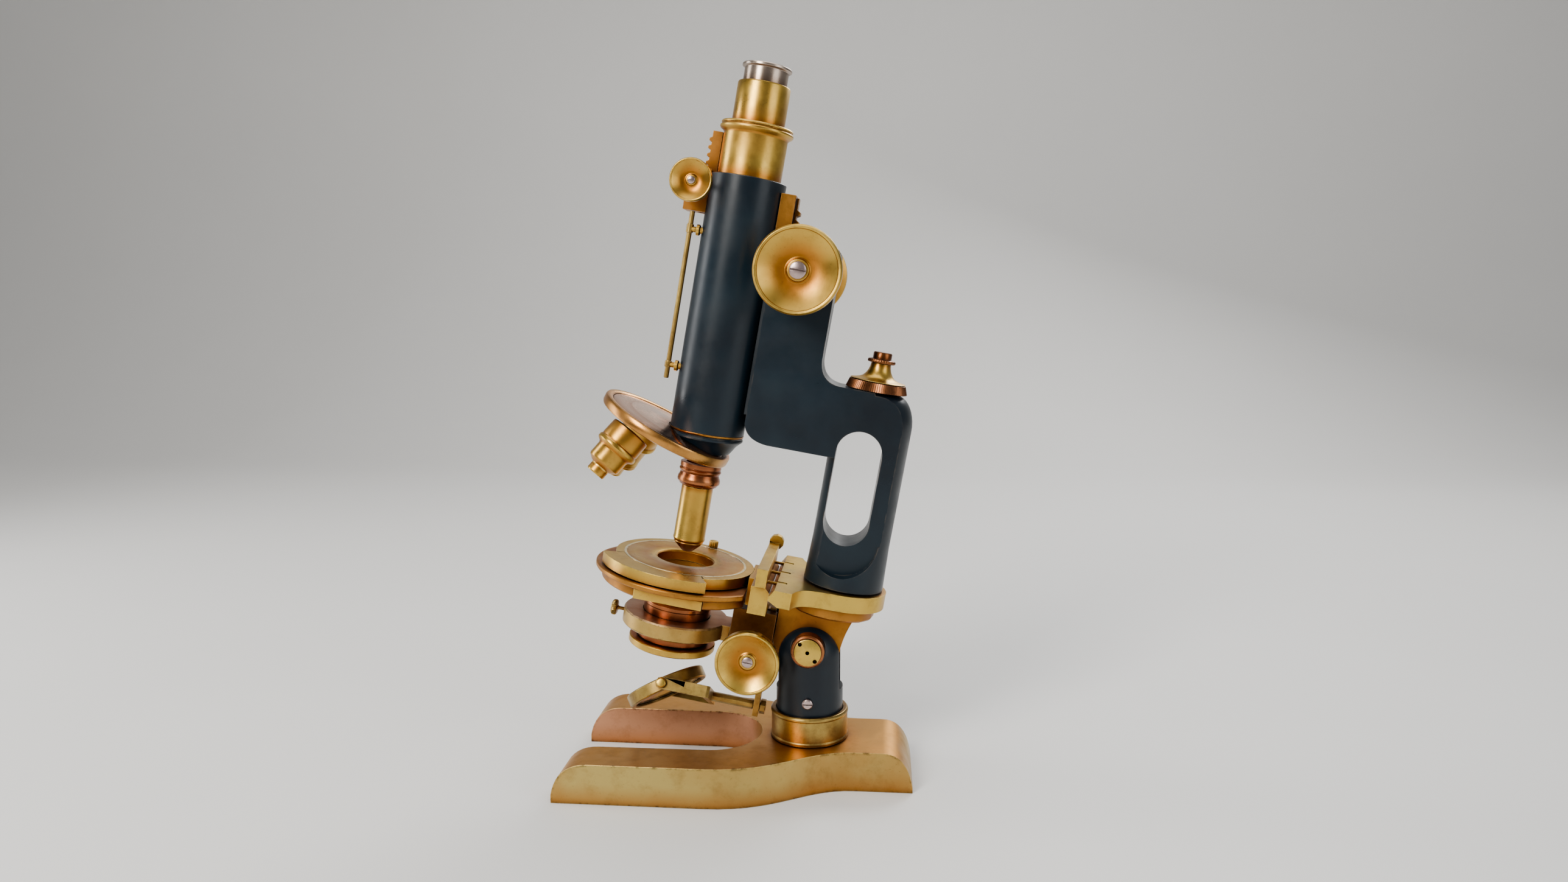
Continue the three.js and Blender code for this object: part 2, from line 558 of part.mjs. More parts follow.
function nosepieceDisc() {
  const r = NOSE.radius;
  const profile = [
    [2.8, -1.2], [9, -1.6], [14, 0], [r - 1.2, 0], [r, 1.2], [r, NOSE.rim - 1], [r - 1, NOSE.rim],
    [r - 4, NOSE.rim], [r - 4, 2.3], [2.8, 2.3], [2.8, -1.2],
  ];
  const cut = objectiveAxes().map((m) => at(barrel(6, -20, 20, 20), 0, 0, 0).applyMatrix4(m));
  return joined(turned(profile, 56), { cut });
}

// Each objective stands on a cone about the nosepiece axis, so the one in use is in line with the tube
function objectiveAxes() {
  return [0, 1, 2].map((i) => {
    const m = new THREE.Matrix4().makeRotationZ((i * 2 * Math.PI) / 3);
    m.multiply(new THREE.Matrix4().makeTranslation(NOSE.pitch, 0, 0));
    return m.multiply(new THREE.Matrix4().makeRotationY(-NOSE.lean));
  });
}
place(nose, "nosepiece_disc", nosepieceDisc(), COPPER);
const PIN = [[0, -3.6], [4, -3.4], [5.2, -1.9], [2.5, -1.9], [2.5, 5.2], [0, 5.2]];
place(nose, "nosepiece_pin", turned(PIN, 24), COPPER);

const OBJECTIVES = {
  high: [
    [8, -5], [11.2, -5], [11.4, -9], [10.6, -10], [11.6, -12.5], [11.6, -15], [10.4, -16], [8.6, -18],
    [8.6, -46.6], [8, -48.6], [3.2, -53.6], [1.2, -53.6], [1.2, -50], [6.4, -44], [6.4, -20], [8, -16], [8, -5],
  ],
  mid: [
    [8, -4], [11.4, -4.5], [11.4, -15], [12, -16], [12, -18], [9.4, -19.5], [9.2, -33], [9.6, -34],
    [5.2, -36.4], [5.2, -44.3], [3.4, -44.3], [3.4, -35], [7, -31], [8, -4],
  ],
  low: [
    [8, -4], [11, -4.5], [11.2, -14], [11.8, -15], [11.8, -17], [9.2, -18.4], [9.2, -26], [7.4, -28],
    [5.2, -28.4], [5.2, -33], [3.6, -33], [7, -24], [8, -4],
  ],
};
Object.entries(OBJECTIVES).forEach(([power, profile], i) => {
  const body = turned(profile, 36).applyMatrix4(objectiveAxes()[i]);
  const clearance = turned([[0, -0.3], [60, -0.3], [60, 30], [0, 30]], 24);
  const hub = turned([[0, -2], [9.4, -2], [9.4, 10], [0, 10]], 24);
  place(nose, `objective_${power}`, joined(body, { cut: [clearance, hub] }), BRASS);
});

// Coarse adjustment pinion and its pair of knobs
const COARSE_PLACE = [COARSE.u, 0, COARSE.w];
place(limb, "coarse_pinion", at(pinion(5.9, 7.6, 3.4, 36, 14), ...COARSE_PLACE), STEEL);
knobPair(limb, "coarse_knob", COARSE_PLACE, COARSE, 3.4);

// Draw tube sleeve with its rack, moved by the small pinion
function drawSleeve() {
  const { outer, inner, bottom, top } = SLEEVE;
  const profile = [
    [inner, bottom], [outer, bottom], [outer, top - 5.4], [19.4, top - 3.4], [19.4, top - 2.1],
    [18.4, top - 1.5], [19.2, top - 0.9], [18.4, top], [inner, top], [inner, bottom],
  ];
  return at(turned(profile, 44), OPTIC_U, 0, 0);
}
place(limb, "draw_sleeve", drawSleeve(), BRASS);

function drawRack() {
  const toothed = rack(-99.1, -91.6, 3, 221, 261, 4, -1);
  return joined(toothed, { cut: [at(barrel(SLEEVE.outer + GAP, 190, 270, 44), OPTIC_U, 0, 0)] });
}
place(limb, "draw_rack", drawRack(), COPPER);

const DRAW_PLACE = [DRAW_PINION.u, 0, DRAW_PINION.w];
place(limb, "draw_pinion", at(pinion(2.1, 3.6, 1.4, 22.4, 9), ...DRAW_PLACE), STEEL);
knobPair(limb, "draw_knob", DRAW_PLACE, DRAW_PINION, 1.4);

function drawTube() {
  const { outer, inner, bottom, top } = DRAW;
  const profile = [
    [inner, bottom], [outer, bottom], [outer, top - 0.8], [outer - 0.6, top], [inner, top], [inner, bottom],
  ];
  return at(turned(profile, 40), OPTIC_U, 0, 0);
}
place(limb, "draw_tube", drawTube(), BRASS);

function eyepiece() {
  const { radius: r, bottom, shoulder, top, flange } = EYEPIECE;
  const profile = [
    [r - 1.6, bottom], [r, bottom], [r, shoulder], [flange, shoulder + 0.3], [flange, top - 0.5],
    [flange - 0.6, top], [9, top], [6, top - 1.6], [6, shoulder - 4], [r - 1.6, shoulder - 6],
    [r - 1.6, bottom],
  ];
  return at(turned(profile, 40), OPTIC_U, 0, 0);
}
place(limb, "eyepiece", eyepiece(), NICKEL);
const EYE_LENS = [[0, 291.1], [5.6, 292.1], [5.6, 294.5], [0, 295.7]];
place(limb, "eye_lens", at(turned(EYE_LENS, 24), OPTIC_U, 0, 0), GLASS);

// Mirror: spindle through the tail bar, fork, and a framed mirror that tips in the fork
const fork = new THREE.Group();
fork.position.set(0, 0, MIRROR.w);
fork.rotation.x = THREE.MathUtils.degToRad(MIRROR.swivel);
limb.add(fork);

function mirrorFork() {
  const half = MIRROR.armHalf;
  const [inner, outer] = [half, half + 2.6];
  const [front, back] = [-50.8, -47.8];
  const bow = outline([
    [MIRROR.u, -outer], [back - 1.5, -outer], [back, -outer + 1.5], [back, outer - 1.5], [back - 1.5, outer],
    [MIRROR.u, outer], [MIRROR.u, inner], [front, inner], [front, -inner], [MIRROR.u, -inner],
  ]);
  const eyes = [[-outer, -inner], [inner, outer]].map(([a, b]) => alongY(barrel(3.4, a, b, 20)));
  const bores = at(alongY(barrel(1.7, -40, 40, 14)), MIRROR.u, 0, 0);
  const stepped = [[0, -49], [2.7, -49], [2.7, -24.6], [2.1, -24.6], [2.1, -17.4], [0, -17.4]];
  const spindle = alongX(turned(stepped, 18));
  const add = [...eyes.map((eye) => at(eye, MIRROR.u, 0, 0)), spindle];
  return joined(plate(bow, -3.2, 3.2), { add, cut: [bores] });
}
place(fork, "mirror_fork", mirrorFork(), BRASS);
place(fork, "mirror_spindle_nut", alongX(pipe(4.2, 2.4, -20.5, -17.6, 8)), BRASS);

const frame = new THREE.Group();
frame.position.set(MIRROR.u, 0, 0);
frame.rotation.y = THREE.MathUtils.degToRad(MIRROR.tilt);
fork.add(frame);

function mirrorRing() {
  const [r, h] = [MIRROR.radius, MIRROR.height / 2];
  const profile = [
    [r - 3, -h], [r - 0.5, -h], [r, -h + 0.5], [r, h - 0.5], [r - 0.5, h], [r - 3, h], [r - 3, h - 1],
    [r - 1.8, h - 1], [r - 1.8, 1 - h], [r - 3, 1 - h], [r - 3, -h],
  ];
  const ring = turned(profile, 48);
  const headFrom = MIRROR.armHalf + 2.9;
  const trunnions = [[-29, -r + 1], [r - 1, 29]].map(([a, b]) => alongY(barrel(1.4, a, b, 12)));
  const heads = [[-29.4, -headFrom], [headFrom, 29.4]].map(([a, b]) => alongY(barrel(2.6, a, b, 16)));
  return joined(ring, { add: [...trunnions, ...heads] });
}
place(frame, "mirror_ring", mirrorRing(), BRASS);
place(frame, "mirror_glass", barrel(MIRROR.radius - 2.1, -2.1, 2.1, 48), SILVERED);

export default microscope;
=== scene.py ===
"""Brass compound microscope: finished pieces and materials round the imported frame."""

import json
import math

import bmesh
import bpy
from mathutils import Matrix, Vector


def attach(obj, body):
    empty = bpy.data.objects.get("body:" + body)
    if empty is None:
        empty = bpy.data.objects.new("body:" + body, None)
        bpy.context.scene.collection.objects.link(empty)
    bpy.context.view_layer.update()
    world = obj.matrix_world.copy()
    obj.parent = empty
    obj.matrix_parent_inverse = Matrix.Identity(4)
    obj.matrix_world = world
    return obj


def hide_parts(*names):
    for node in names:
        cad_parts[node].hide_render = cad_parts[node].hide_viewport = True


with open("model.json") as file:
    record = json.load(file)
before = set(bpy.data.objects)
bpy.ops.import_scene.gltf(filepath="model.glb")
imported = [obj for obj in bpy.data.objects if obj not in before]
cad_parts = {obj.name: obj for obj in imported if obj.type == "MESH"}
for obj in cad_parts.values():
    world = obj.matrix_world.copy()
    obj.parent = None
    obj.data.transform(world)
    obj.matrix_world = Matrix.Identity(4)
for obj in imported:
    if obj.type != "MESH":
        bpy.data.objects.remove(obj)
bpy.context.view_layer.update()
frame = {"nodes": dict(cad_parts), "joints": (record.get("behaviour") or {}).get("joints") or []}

# ---------------------------------------------------------------- places, in millimetres
MM = 0.001
TILT = math.radians(10)
JOINT = {j["name"]: j for j in frame["joints"]}
PIVOT_Z = JOINT["inclination"]["pos_m"][2] / MM
OPTIC_U = -75.5


def shift(x, y, z):
    return Matrix.Translation((x, y, z))


def turn(degrees, axis):
    return Matrix.Rotation(math.radians(degrees), 4, axis)


WORLD = Matrix.Identity(4)
LIMB = shift(0, 0, PIVOT_Z) @ turn(10, "Y")
OPTIC = LIMB @ shift(OPTIC_U, 0, 0)
NOSE = LIMB @ shift(-98.3, 0, 99.1) @ turn(20, "Y")
FORK = LIMB @ shift(0, 0, -42.2) @ turn(-25, "X")
MIRROR = FORK @ shift(-74, 0, 0) @ turn(-34.5, "Y")
ALONG_X = turn(90, "Y")
ALONG_Y = turn(-90, "X")
PIVOT = shift(0, 0, PIVOT_Z)
SIDE_SCREW = shift(0, 0, 45.6)
ARM_U, FINE_U = 12, 10.4
COARSE_AXLE = LIMB @ shift(-39, 0, 196.8)
DRAW_AXLE = LIMB @ shift(-101.5, 0, 232.5)
SUBSTAGE_AXLE = LIMB @ shift(-30, 0, -7.9)
CENTRING_AXIS = LIMB @ shift(0, 0, -2.5) @ ALONG_X
OBJECTIVE_PLACES = [turn(120 * i, "Z") @ shift(24.2, 0, 0) @ turn(-20, "Y") for i in range(3)]

# ---------------------------------------------------------------- materials


def new_material(name):
    mat = bpy.data.materials.new(name)
    mat.use_nodes = True
    tree = mat.node_tree
    return mat, tree, tree.nodes["Principled BSDF"]


def node(tree, kind, **values):
    made = tree.nodes.new(kind)
    for key, value in values.items():
        if key in made.inputs:
            made.inputs[key].default_value = value
        else:
            setattr(made, key, value)
    return made


def mix(tree, factor, a, b, blend="MIX"):
    made = node(tree, "ShaderNodeMix", data_type="RGBA", blend_type=blend)
    for socket, value in ((0, factor), (6, a), (7, b)):
        if isinstance(value, bpy.types.NodeSocket):
            tree.links.new(value, made.inputs[socket])
        else:
            made.inputs[socket].default_value = value
    return made.outputs[2]


def ramp(tree, source, low, high, low_value=0.0, high_value=1.0):
    made = node(tree, "ShaderNodeMapRange")
    for key, value in zip(("From Min", "From Max", "To Min", "To Max"),
                          (low, high, low_value, high_value)):
        made.inputs[key].default_value = value
    tree.links.new(source, made.inputs["Value"])
    return made.outputs["Result"]


def noise(tree, scale, detail=4.0, roughness=0.6, stretch=(1, 1, 1)):
    where = node(tree, "ShaderNodeTexCoord")
    mapping = node(tree, "ShaderNodeMapping")
    mapping.inputs["Scale"].default_value = stretch
    made = node(tree, "ShaderNodeTexNoise", Scale=scale, Detail=detail, Roughness=roughness)
    tree.links.new(where.outputs["Object"], mapping.inputs["Vector"])
    tree.links.new(mapping.outputs["Vector"], made.inputs["Vector"])
    return made.outputs["Fac"]


def edge_mask(tree, radius):
    """1 on sharp outer edges and corners, 0 on open faces."""
    bevel = node(tree, "ShaderNodeBevel", samples=4, Radius=radius)
    geometry = node(tree, "ShaderNodeNewGeometry")
    dot = node(tree, "ShaderNodeVectorMath", operation="DOT_PRODUCT")
    tree.links.new(bevel.outputs["Normal"], dot.inputs[0])
    tree.links.new(geometry.outputs["Normal"], dot.inputs[1])
    return ramp(tree, dot.outputs["Value"], 0.997, 0.93)


def hollow_mask(tree, distance):
    """1 in the hollows and where pieces meet, 0 in the open."""
    ao = node(tree, "ShaderNodeAmbientOcclusion", samples=4, Distance=distance)
    return ramp(tree, ao.outputs["AO"], 0.95, 0.45)


def shade_and_tone_mask(tree):
    """Painted shade, with some browner tone, that a turned piece carries from its profile: 1 is the
    darker, browner end.
    """
    return node(tree, "ShaderNodeAttribute", attribute_name="shade_and_tone").outputs["Fac"]


def product(tree, a, b):
    made = node(tree, "ShaderNodeMath", operation="MULTIPLY")
    for i, value in enumerate((a, b)):
        if isinstance(value, bpy.types.NodeSocket):
            tree.links.new(value, made.inputs[i])
        else:
            made.inputs[i].default_value = value
    return made.outputs[0]


def facing(tree, axis, low, high):
    """How far the surface faces along a world axis."""
    axes = node(tree, "ShaderNodeSeparateXYZ")
    tree.links.new(node(tree, "ShaderNodeNewGeometry").outputs["Normal"], axes.inputs[0])
    return ramp(tree, axes.outputs[axis], low, high)


def lacquered(name, light, deep, dirt_and_shadow, rough, hollow=0.009, top=None, inner=None, dirty_edges=0.6,
              soil=0.45,
              edge=0.0011, enamelled_below=None):
    """Aged lacquered metal: light open faces, brown painted shade in the hollows and dark painted
    shadow where pieces meet, painted highlights on sharp edges, painted light on upward faces and
    far inner faces, dark specks and grimy edges.
    """
    mat, tree, bsdf = new_material(name)
    color = mix(tree, ramp(tree, noise(tree, 14, 4), 0.4, 0.68, 0.0, 0.55), light, deep)
    # Painted light: where given, faces on the far half that turn towards -Y take the inner tint.
    if inner:
        where = node(tree, "ShaderNodeSeparateXYZ")
        tree.links.new(node(tree, "ShaderNodeTexCoord").outputs["Object"], where.inputs[0])
        behind = product(tree, ramp(tree, where.outputs["Y"], 0.0, 0.012),
                         facing(tree, "Y", -0.3, -0.7))
        color = mix(tree, behind, color, inner)
    # Painted light: where given, upward faces take the top tint.
    if top:
        color = mix(tree, product(tree, facing(tree, "Z", 0.3, 0.8), 0.85), color, top)
    # Painted shade from the profile's third values, with some browner tone, mixes towards deep.
    color = mix(tree, shade_and_tone_mask(tree), color, deep)
    # Painted shade in the hollows and where pieces meet.
    color = mix(tree, hollow_mask(tree, hollow), color, deep)
    # Painted dark shadow where pieces nearly touch, in the same dark colour as the grime.
    contact_shadow = ramp(tree, hollow_mask(tree, hollow * 0.3), 0.3, 0.95, 0.0, 0.85)
    color = mix(tree, contact_shadow, color, dirt_and_shadow)
    film = ramp(tree, noise(tree, 75, 6, 0.7), 0.5 - 0.2 * (soil - 0.45), 0.78, 0.0, soil)
    color = mix(tree, film, color, tuple(0.4 * a + 0.6 * b for a, b in zip(deep, dirt_and_shadow)))
    specks = ramp(tree, noise(tree, 640, 5, 0.75), 0.62, 0.74, 0.0, 0.55)
    color = mix(tree, specks, color, dirt_and_shadow)
    # Painted highlight along the sharpest edges.
    edge_highlight = tuple(min(1.0, c * 1.3 + 0.04) for c in light[:3]) + (1,)
    color = mix(tree, product(tree, edge_mask(tree, 0.0005), 0.75), color, edge_highlight)
    chipped = ramp(tree, noise(tree, 230, 6, 0.75), 0.5, 0.6, 0.0, dirty_edges)
    color = mix(tree, product(tree, edge_mask(tree, edge), chipped), color, dirt_and_shadow)
    bsdf.inputs["Metallic"].default_value = 1.0
    if enamelled_below:
        along = node(tree, "ShaderNodeVectorMath", operation="DOT_PRODUCT")
        tree.links.new(node(tree, "ShaderNodeTexCoord").outputs["Object"], along.inputs[0])
        along.inputs[1].default_value = (math.sin(TILT), 0, math.cos(TILT))
        limit = (enamelled_below + PIVOT_Z * math.cos(TILT)) * MM
        bare = ramp(tree, along.outputs["Value"], limit - 0.001, limit)
        color = mix(tree, bare, (0.003, 0.008, 0.013, 1), color)
        tree.links.new(bare, bsdf.inputs["Metallic"])
    tree.links.new(color, bsdf.inputs["Base Color"])
    tree.links.new(ramp(tree, noise(tree, 38, 5, 0.65), 0.36, 0.68, rough - 0.08, rough + 0.12),
                   bsdf.inputs["Roughness"])
    scratch = node(tree, "ShaderNodeBump", Strength=0.08, Distance=0.0002)
    tree.links.new(noise(tree, 900, 3, 0.6, (1, 1, 0.15)), scratch.inputs["Height"])
    tree.links.new(scratch.outputs["Normal"], bsdf.inputs["Normal"])
    return mat


def enamel():
    """Blue-black japanned enamel, rubbed thin and brown on the edges."""
    mat, tree, bsdf = new_material("black_enamel")
    cloud = ramp(tree, noise(tree, 22, 5), 0.35, 0.7)
    color = mix(tree, cloud, (0.0020, 0.0048, 0.0085, 1), (0.003, 0.011, 0.018, 1))
    rubbed = product(tree, edge_mask(tree, 0.0008), ramp(tree, noise(tree, 130, 5), 0.45, 0.62))
    color = mix(tree, rubbed, color, (0.06, 0.05, 0.04, 1))
    specks = ramp(tree, noise(tree, 300, 3, 0.7), 0.7, 0.78, 0.0, 0.5)
    color = mix(tree, specks, color, (0.012, 0.022, 0.026, 1))
    tree.links.new(color, bsdf.inputs["Base Color"])
    tree.links.new(ramp(tree, noise(tree, 45, 5), 0.3, 0.7, 0.26, 0.46), bsdf.inputs["Roughness"])
    bsdf.inputs["Specular IOR Level"].default_value = 0.28
    orange_peel = node(tree, "ShaderNodeBump", Strength=0.08, Distance=0.0002)
    tree.links.new(noise(tree, 260, 2), orange_peel.inputs["Height"])
    tree.links.new(orange_peel.outputs["Normal"], bsdf.inputs["Normal"])
    return mat


def glass():
    mat, tree, bsdf = new_material("lens_glass")
    dust = ramp(tree, noise(tree, 500, 3), 0.5, 0.8, 0.02, 0.14)
    tree.links.new(dust, bsdf.inputs["Roughness"])
    tint = mix(tree, noise(tree, 60), (0.80, 0.90, 0.92, 1), (0.92, 0.95, 0.90, 1))
    tree.links.new(tint, bsdf.inputs["Base Color"])
    bsdf.inputs["Transmission Weight"].default_value = 0.9
    bsdf.inputs["IOR"].default_value = 1.52
    return mat


YELLOW = (0.60, 0.40, 0.07, 1)
OLIVE = (0.47, 0.345, 0.10, 1)
ORANGE = (0.34, 0.11, 0.010, 1)
RED_BROWN = (0.20, 0.055, 0.018, 1)
COPPER_RED = (0.36, 0.13, 0.045, 1)
PINK_COPPER = (0.50, 0.235, 0.125, 1)
# Dark grime, also used for painted shadow where pieces meet.
GRIME_AND_SHADOW = (0.022, 0.010, 0.004, 1)
BRASS = lacquered("aged_brass", YELLOW, ORANGE, GRIME_AND_SHADOW, 0.34)
SOILED = lacquered("soiled_brass", (0.42, 0.29, 0.075, 1), (0.22, 0.10, 0.025, 1), GRIME_AND_SHADOW, 0.36,
                   0.012, dirty_edges=1.0, soil=0.95)
SLIDE = lacquered("slide_brass", (0.42, 0.185, 0.03, 1), (0.10, 0.03, 0.006, 1),
                  (0.004, 0.003, 0.003, 1), 0.38, 0.03, enamelled_below=210)
SUBSLIDE = lacquered("substage_slide_brass", (0.34, 0.15, 0.03, 1), (0.10, 0.03, 0.006, 1), GRIME_AND_SHADOW,
                     0.36, 0.03, soil=0.8)
HIGHLIGHT_BRASS = lacquered("highlight_brass", (0.80, 0.68, 0.42, 1), (0.6, 0.42, 0.16, 1), GRIME_AND_SHADOW, 0.3, 0.002)
# The top and inner tints below are painted light on upward faces and far inner faces.
BASE_BRASS = lacquered("base_brass", (0.50, 0.37, 0.115, 1), ORANGE, GRIME_AND_SHADOW, 0.38, 0.012,
                       top=(0.52, 0.225, 0.03, 1), inner=PINK_COPPER,
                       dirty_edges=1.0, edge=0.0024)
# The top tint below is painted light on upward faces.
HOLDER_METAL = lacquered("holder_brass", OLIVE, ORANGE, GRIME_AND_SHADOW, 0.38, 0.012,
                         top=(0.34, 0.20, 0.14, 1), dirty_edges=1.0)
CUP_METAL = lacquered("cup_copper", (0.52, 0.27, 0.065, 1), (0.30, 0.085, 0.022, 1), GRIME_AND_SHADOW,
                      0.3, 0.012)
AMBER = lacquered("amber_brass", (0.40, 0.175, 0.028, 1), (0.20, 0.06, 0.01, 1), GRIME_AND_SHADOW, 0.38, 0.015)
COPPER = lacquered("toned_copper", COPPER_RED, RED_BROWN, GRIME_AND_SHADOW, 0.3)
DARK_COPPER = lacquered("dark_copper", (0.22, 0.075, 0.022, 1), (0.10, 0.028, 0.008, 1),
                        GRIME_AND_SHADOW, 0.34)
ROSE = lacquered("rose_copper", (0.66, 0.44, 0.33, 1), COPPER_RED, GRIME_AND_SHADOW, 0.26)
NICKEL = lacquered("worn_nickel", (0.46, 0.38, 0.31, 1), (0.22, 0.14, 0.09, 1), GRIME_AND_SHADOW, 0.3, 0.004)
STEEL = lacquered("bright_steel", (0.50, 0.38, 0.36, 1), (0.24, 0.16, 0.14, 1), GRIME_AND_SHADOW, 0.3, 0.003)
SILVER = lacquered("silvered_glass", (0.80, 0.83, 0.85, 1), (0.62, 0.66, 0.70, 1),
                   (0.4, 0.4, 0.4, 1), 0.12, 0.002)
BLACK = enamel()
GLASS = glass()

# ---------------------------------------------------------------- shape helpers


def mesh_object(name, bm, place):
    bmesh.ops.recalc_face_normals(bm, faces=bm.faces)
    mesh = bpy.data.meshes.new(name)
    bm.to_mesh(mesh)
    bm.free()
    mesh.transform(Matrix.Scale(MM, 4) @ place)
    made = bpy.data.objects.new(name, mesh)
    bpy.context.scene.collection.objects.link(made)
    return made


def turned(name, profile, place=WORLD, sides=96):
    """Revolves (radius, height[, shade_and_tone]) points about Z, the third value being painted
    shade with some browner tone; off the axis the outline closes.
    """
    bm = bmesh.new()
    shade_and_tone = bm.verts.layers.float.new("shade_and_tone")
    rings = []
    for point in profile:
        r, z = point[0], point[1]
        count = 1 if r == 0 else sides
        ring = []
        for i in range(count):
            a = 2 * math.pi * i / sides
            vert = bm.verts.new((r * math.cos(a), r * math.sin(a), z))
            vert[shade_and_tone] = point[2] if len(point) > 2 else 0.0
            ring.append(vert)
        rings.append(ring)
    pairs = list(zip(rings, rings[1:]))
    if profile[0][0] != 0:
        pairs.append((rings[-1], rings[0]))
    for a, b in pairs:
        for i in range(sides):
            j = (i + 1) % sides
            corners = [a[i % len(a)], a[j % len(a)], b[j % len(b)], b[i % len(b)]]
            corners = list(dict.fromkeys(corners))
            if len(corners) > 2:
                bm.faces.new(corners)
    return mesh_object(name, bm, place)


def barrel(name, r, z0, z1, place=WORLD, sides=64):
    return turned(name, [(0, z0), (r, z0), (r, z1), (0, z1)], place, sides)


def box(name, low, high, place=WORLD):
    bm = bmesh.new()
    bmesh.ops.create_cube(bm, size=1)
    size = Vector(high) - Vector(low)
    centre = (Vector(high) + Vector(low)) / 2
    for vert in bm.verts:
        vert.co = Vector(a * b for a, b in zip(vert.co, size)) + centre
    return mesh_object(name, bm, place)


def side_plate(name, points, y0, y1, place=WORLD):
    """A plate with an outline in X and Z and flat faces at y0 and y1."""
    bm = bmesh.new()
    near = [bm.verts.new((x, y0, z)) for x, z in points]
    far = [bm.verts.new((x, y1, z)) for x, z in points]
    bm.faces.new(near)
    bm.faces.new(far)
    for i in range(len(points)):
        j = (i + 1) % len(points)
        bm.faces.new((near[i], near[j], far[j], far[i]))
    return mesh_object(name, bm, place)


def arc(cx, cz, r, a0, a1, steps=24):
    angles = [math.radians(a0 + (a1 - a0) * i / steps) for i in range(steps + 1)]
    return [(cx + r * math.cos(a), cz + r * math.sin(a)) for a in angles]


def curve(p0, p1, p2, steps=10):
    """A quadratic curve from p0 to p2, pulled towards p1."""
    out = []
    for i in range(steps + 1):
        t = i / steps
        out.append(tuple((1 - t) ** 2 * a + 2 * t * (1 - t) * b + t * t * c for a, b,
                         c in zip(p0, p1, p2)))
    return out


def boolean(piece, cutters, operation="DIFFERENCE"):
    for cutter in cutters:
        modifier = piece.modifiers.new("cut", "BOOLEAN")
        modifier.operation = operation
        modifier.solver = "EXACT"
        modifier.object = cutter
        bpy.context.view_layer.update()
        graph = bpy.context.evaluated_depsgraph_get()
        mesh = bpy.data.meshes.new_from_object(piece.evaluated_get(graph))
        piece.modifiers.clear()
        piece.data = mesh
    for cutter in cutters:
        bpy.data.objects.remove(cutter)
    return piece


def soften(piece, width=0.35, angle=32):
    """Rounded edges and smooth shading on the rest."""
    piece.data.polygons.foreach_set("use_smooth", [True] * len(piece.data.polygons))
    weld = piece.modifiers.new("weld", "WELD")
    weld.merge_threshold = 0.00002
    piece.data.set_sharp_from_angle(angle=math.radians(38))
    if not width:
        return piece
    bevel = piece.modifiers.new("bevel", "BEVEL")
    bevel.width = width * MM
    bevel.segments = 2
    bevel.limit_method = "ANGLE"
    bevel.angle_limit = math.radians(angle)
    bevel.harden_normals = True
    return piece


def finished(piece, body, material, replaced=(), width=0.35):
    soften(piece, width)
    piece.data.materials.clear()
    piece.data.materials.append(material)
    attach(piece, body)
    if replaced:
        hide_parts(*replaced)
    return piece


# ---------------------------------------------------------------- CAD pieces that keep their shape
KEPT = {
    BASE_BRASS: ["horseshoe_base"],
    BRASS: ["stage_bracket", "stage_rail", "stage_post"],
    SOILED: ["mirror_fork", "mirror_spindle_nut", "tail_bar"],
    SLIDE: ["coarse_slide", "coarse_rack"],
    SUBSLIDE: ["substage_slide"],
    AMBER: ["hinge_lug", "draw_rack", "draw_pinion_box"],
    STEEL: ["base_screw_front", "base_screw_rear", "pivot_axle", "fine_guide_post", "substage_rack",
            "substage_pinion", "coarse_pinion", "draw_pinion"],
}
for material, names in KEPT.items():
    for name in names:
        kept = frame["nodes"][name]
        kept.data.materials.clear()
        kept.data.materials.append(material)
        bpy.context.view_layer.objects.active = kept
        if kept.data.has_custom_normals:
            bpy.ops.mesh.customdata_custom_splitnormals_clear()
        soften(kept, 0.8 if name == "horseshoe_base" else 0.4 if name.startswith("stage") else 0.2)

# ---------------------------------------------------------------- pillar and pivot


def pillar():
    radius, shoulder, floor = 18.3, 68, 21.9
    dome = [(radius * math.cos(math.radians(a)), shoulder + radius * math.sin(math.radians(a)))
            for a in range(0, 90, 6)]
    piece = turned("pillar_fork", [(0, floor), (radius, floor), *dome, (0, shoulder + radius)],
                   sides=128)
    cutters = [
        box("slot", (-25, -7.6, 50), (25, 7.6, 100)),
        barrel("bore", 4.3, -30, 30, PIVOT @ ALONG_Y),
        barrel("seat_near", 9.3, -30, -12.2, PIVOT @ ALONG_Y),
        barrel("seat_far", 9.3, 12.2, 30, PIVOT @ ALONG_Y),
        barrel("side_hole", 1.8, -30, -11, SIDE_SCREW @ ALONG_Y),
    ]
    return finished(boolean(piece, cutters), "stand", BLACK, ["pillar"], 0.5)


pillar()
COLLAR = [(18.6, 21.9, 0.6), (21.4, 21.9, 0.6), (21.4, 23.4, 0.2), (21.0, 23.9), (21.0, 35.4),
          (21.4, 35.9),
          (21.4, 37), (20.6, 37.9), (18.6, 37.9, 0.5)]
finished(turned("collar_of_pillar", COLLAR, sides=128), "stand", SOILED, ["pillar_collar"], 0.25)


def slotted_screw(name, radius, y_face, height, place, body, side=-1, replaced=()):
    """A cheese-head screw whose axis is Y, its slot cut across the domed head."""
    s = side
    head = [(0, s * (y_face - 0.6)), (radius, s * (y_face - 0.6)),
            (radius, s * (y_face + height * 0.6)),
            (radius * 0.8, s * (y_face + height * 0.9)), (0, s * (y_face + height))]
    piece = turned(name, head, place @ ALONG_Y, 48)
    depth = sorted((s * (y_face + height * 0.45), s * (y_face + height * 2)))
    groove = box("groove", (-radius * 2, depth[0], -radius * 0.11),
                 (radius * 2, depth[1], radius * 0.11), place)
    return finished(boolean(piece, [groove]), body, STEEL, replaced, 0.12)


finished(turned("side_screw_shank", [(0, -18.5), (1.5, -18.5), (1.5, -12), (0, -12)],
                SIDE_SCREW @ ALONG_Y, 24), "stand", STEEL, width=0.1)
slotted_screw("side_screw_of_pillar", 2.8, 18.9, 1.7, SIDE_SCREW, "stand",
              replaced=["pillar_side_screw"])


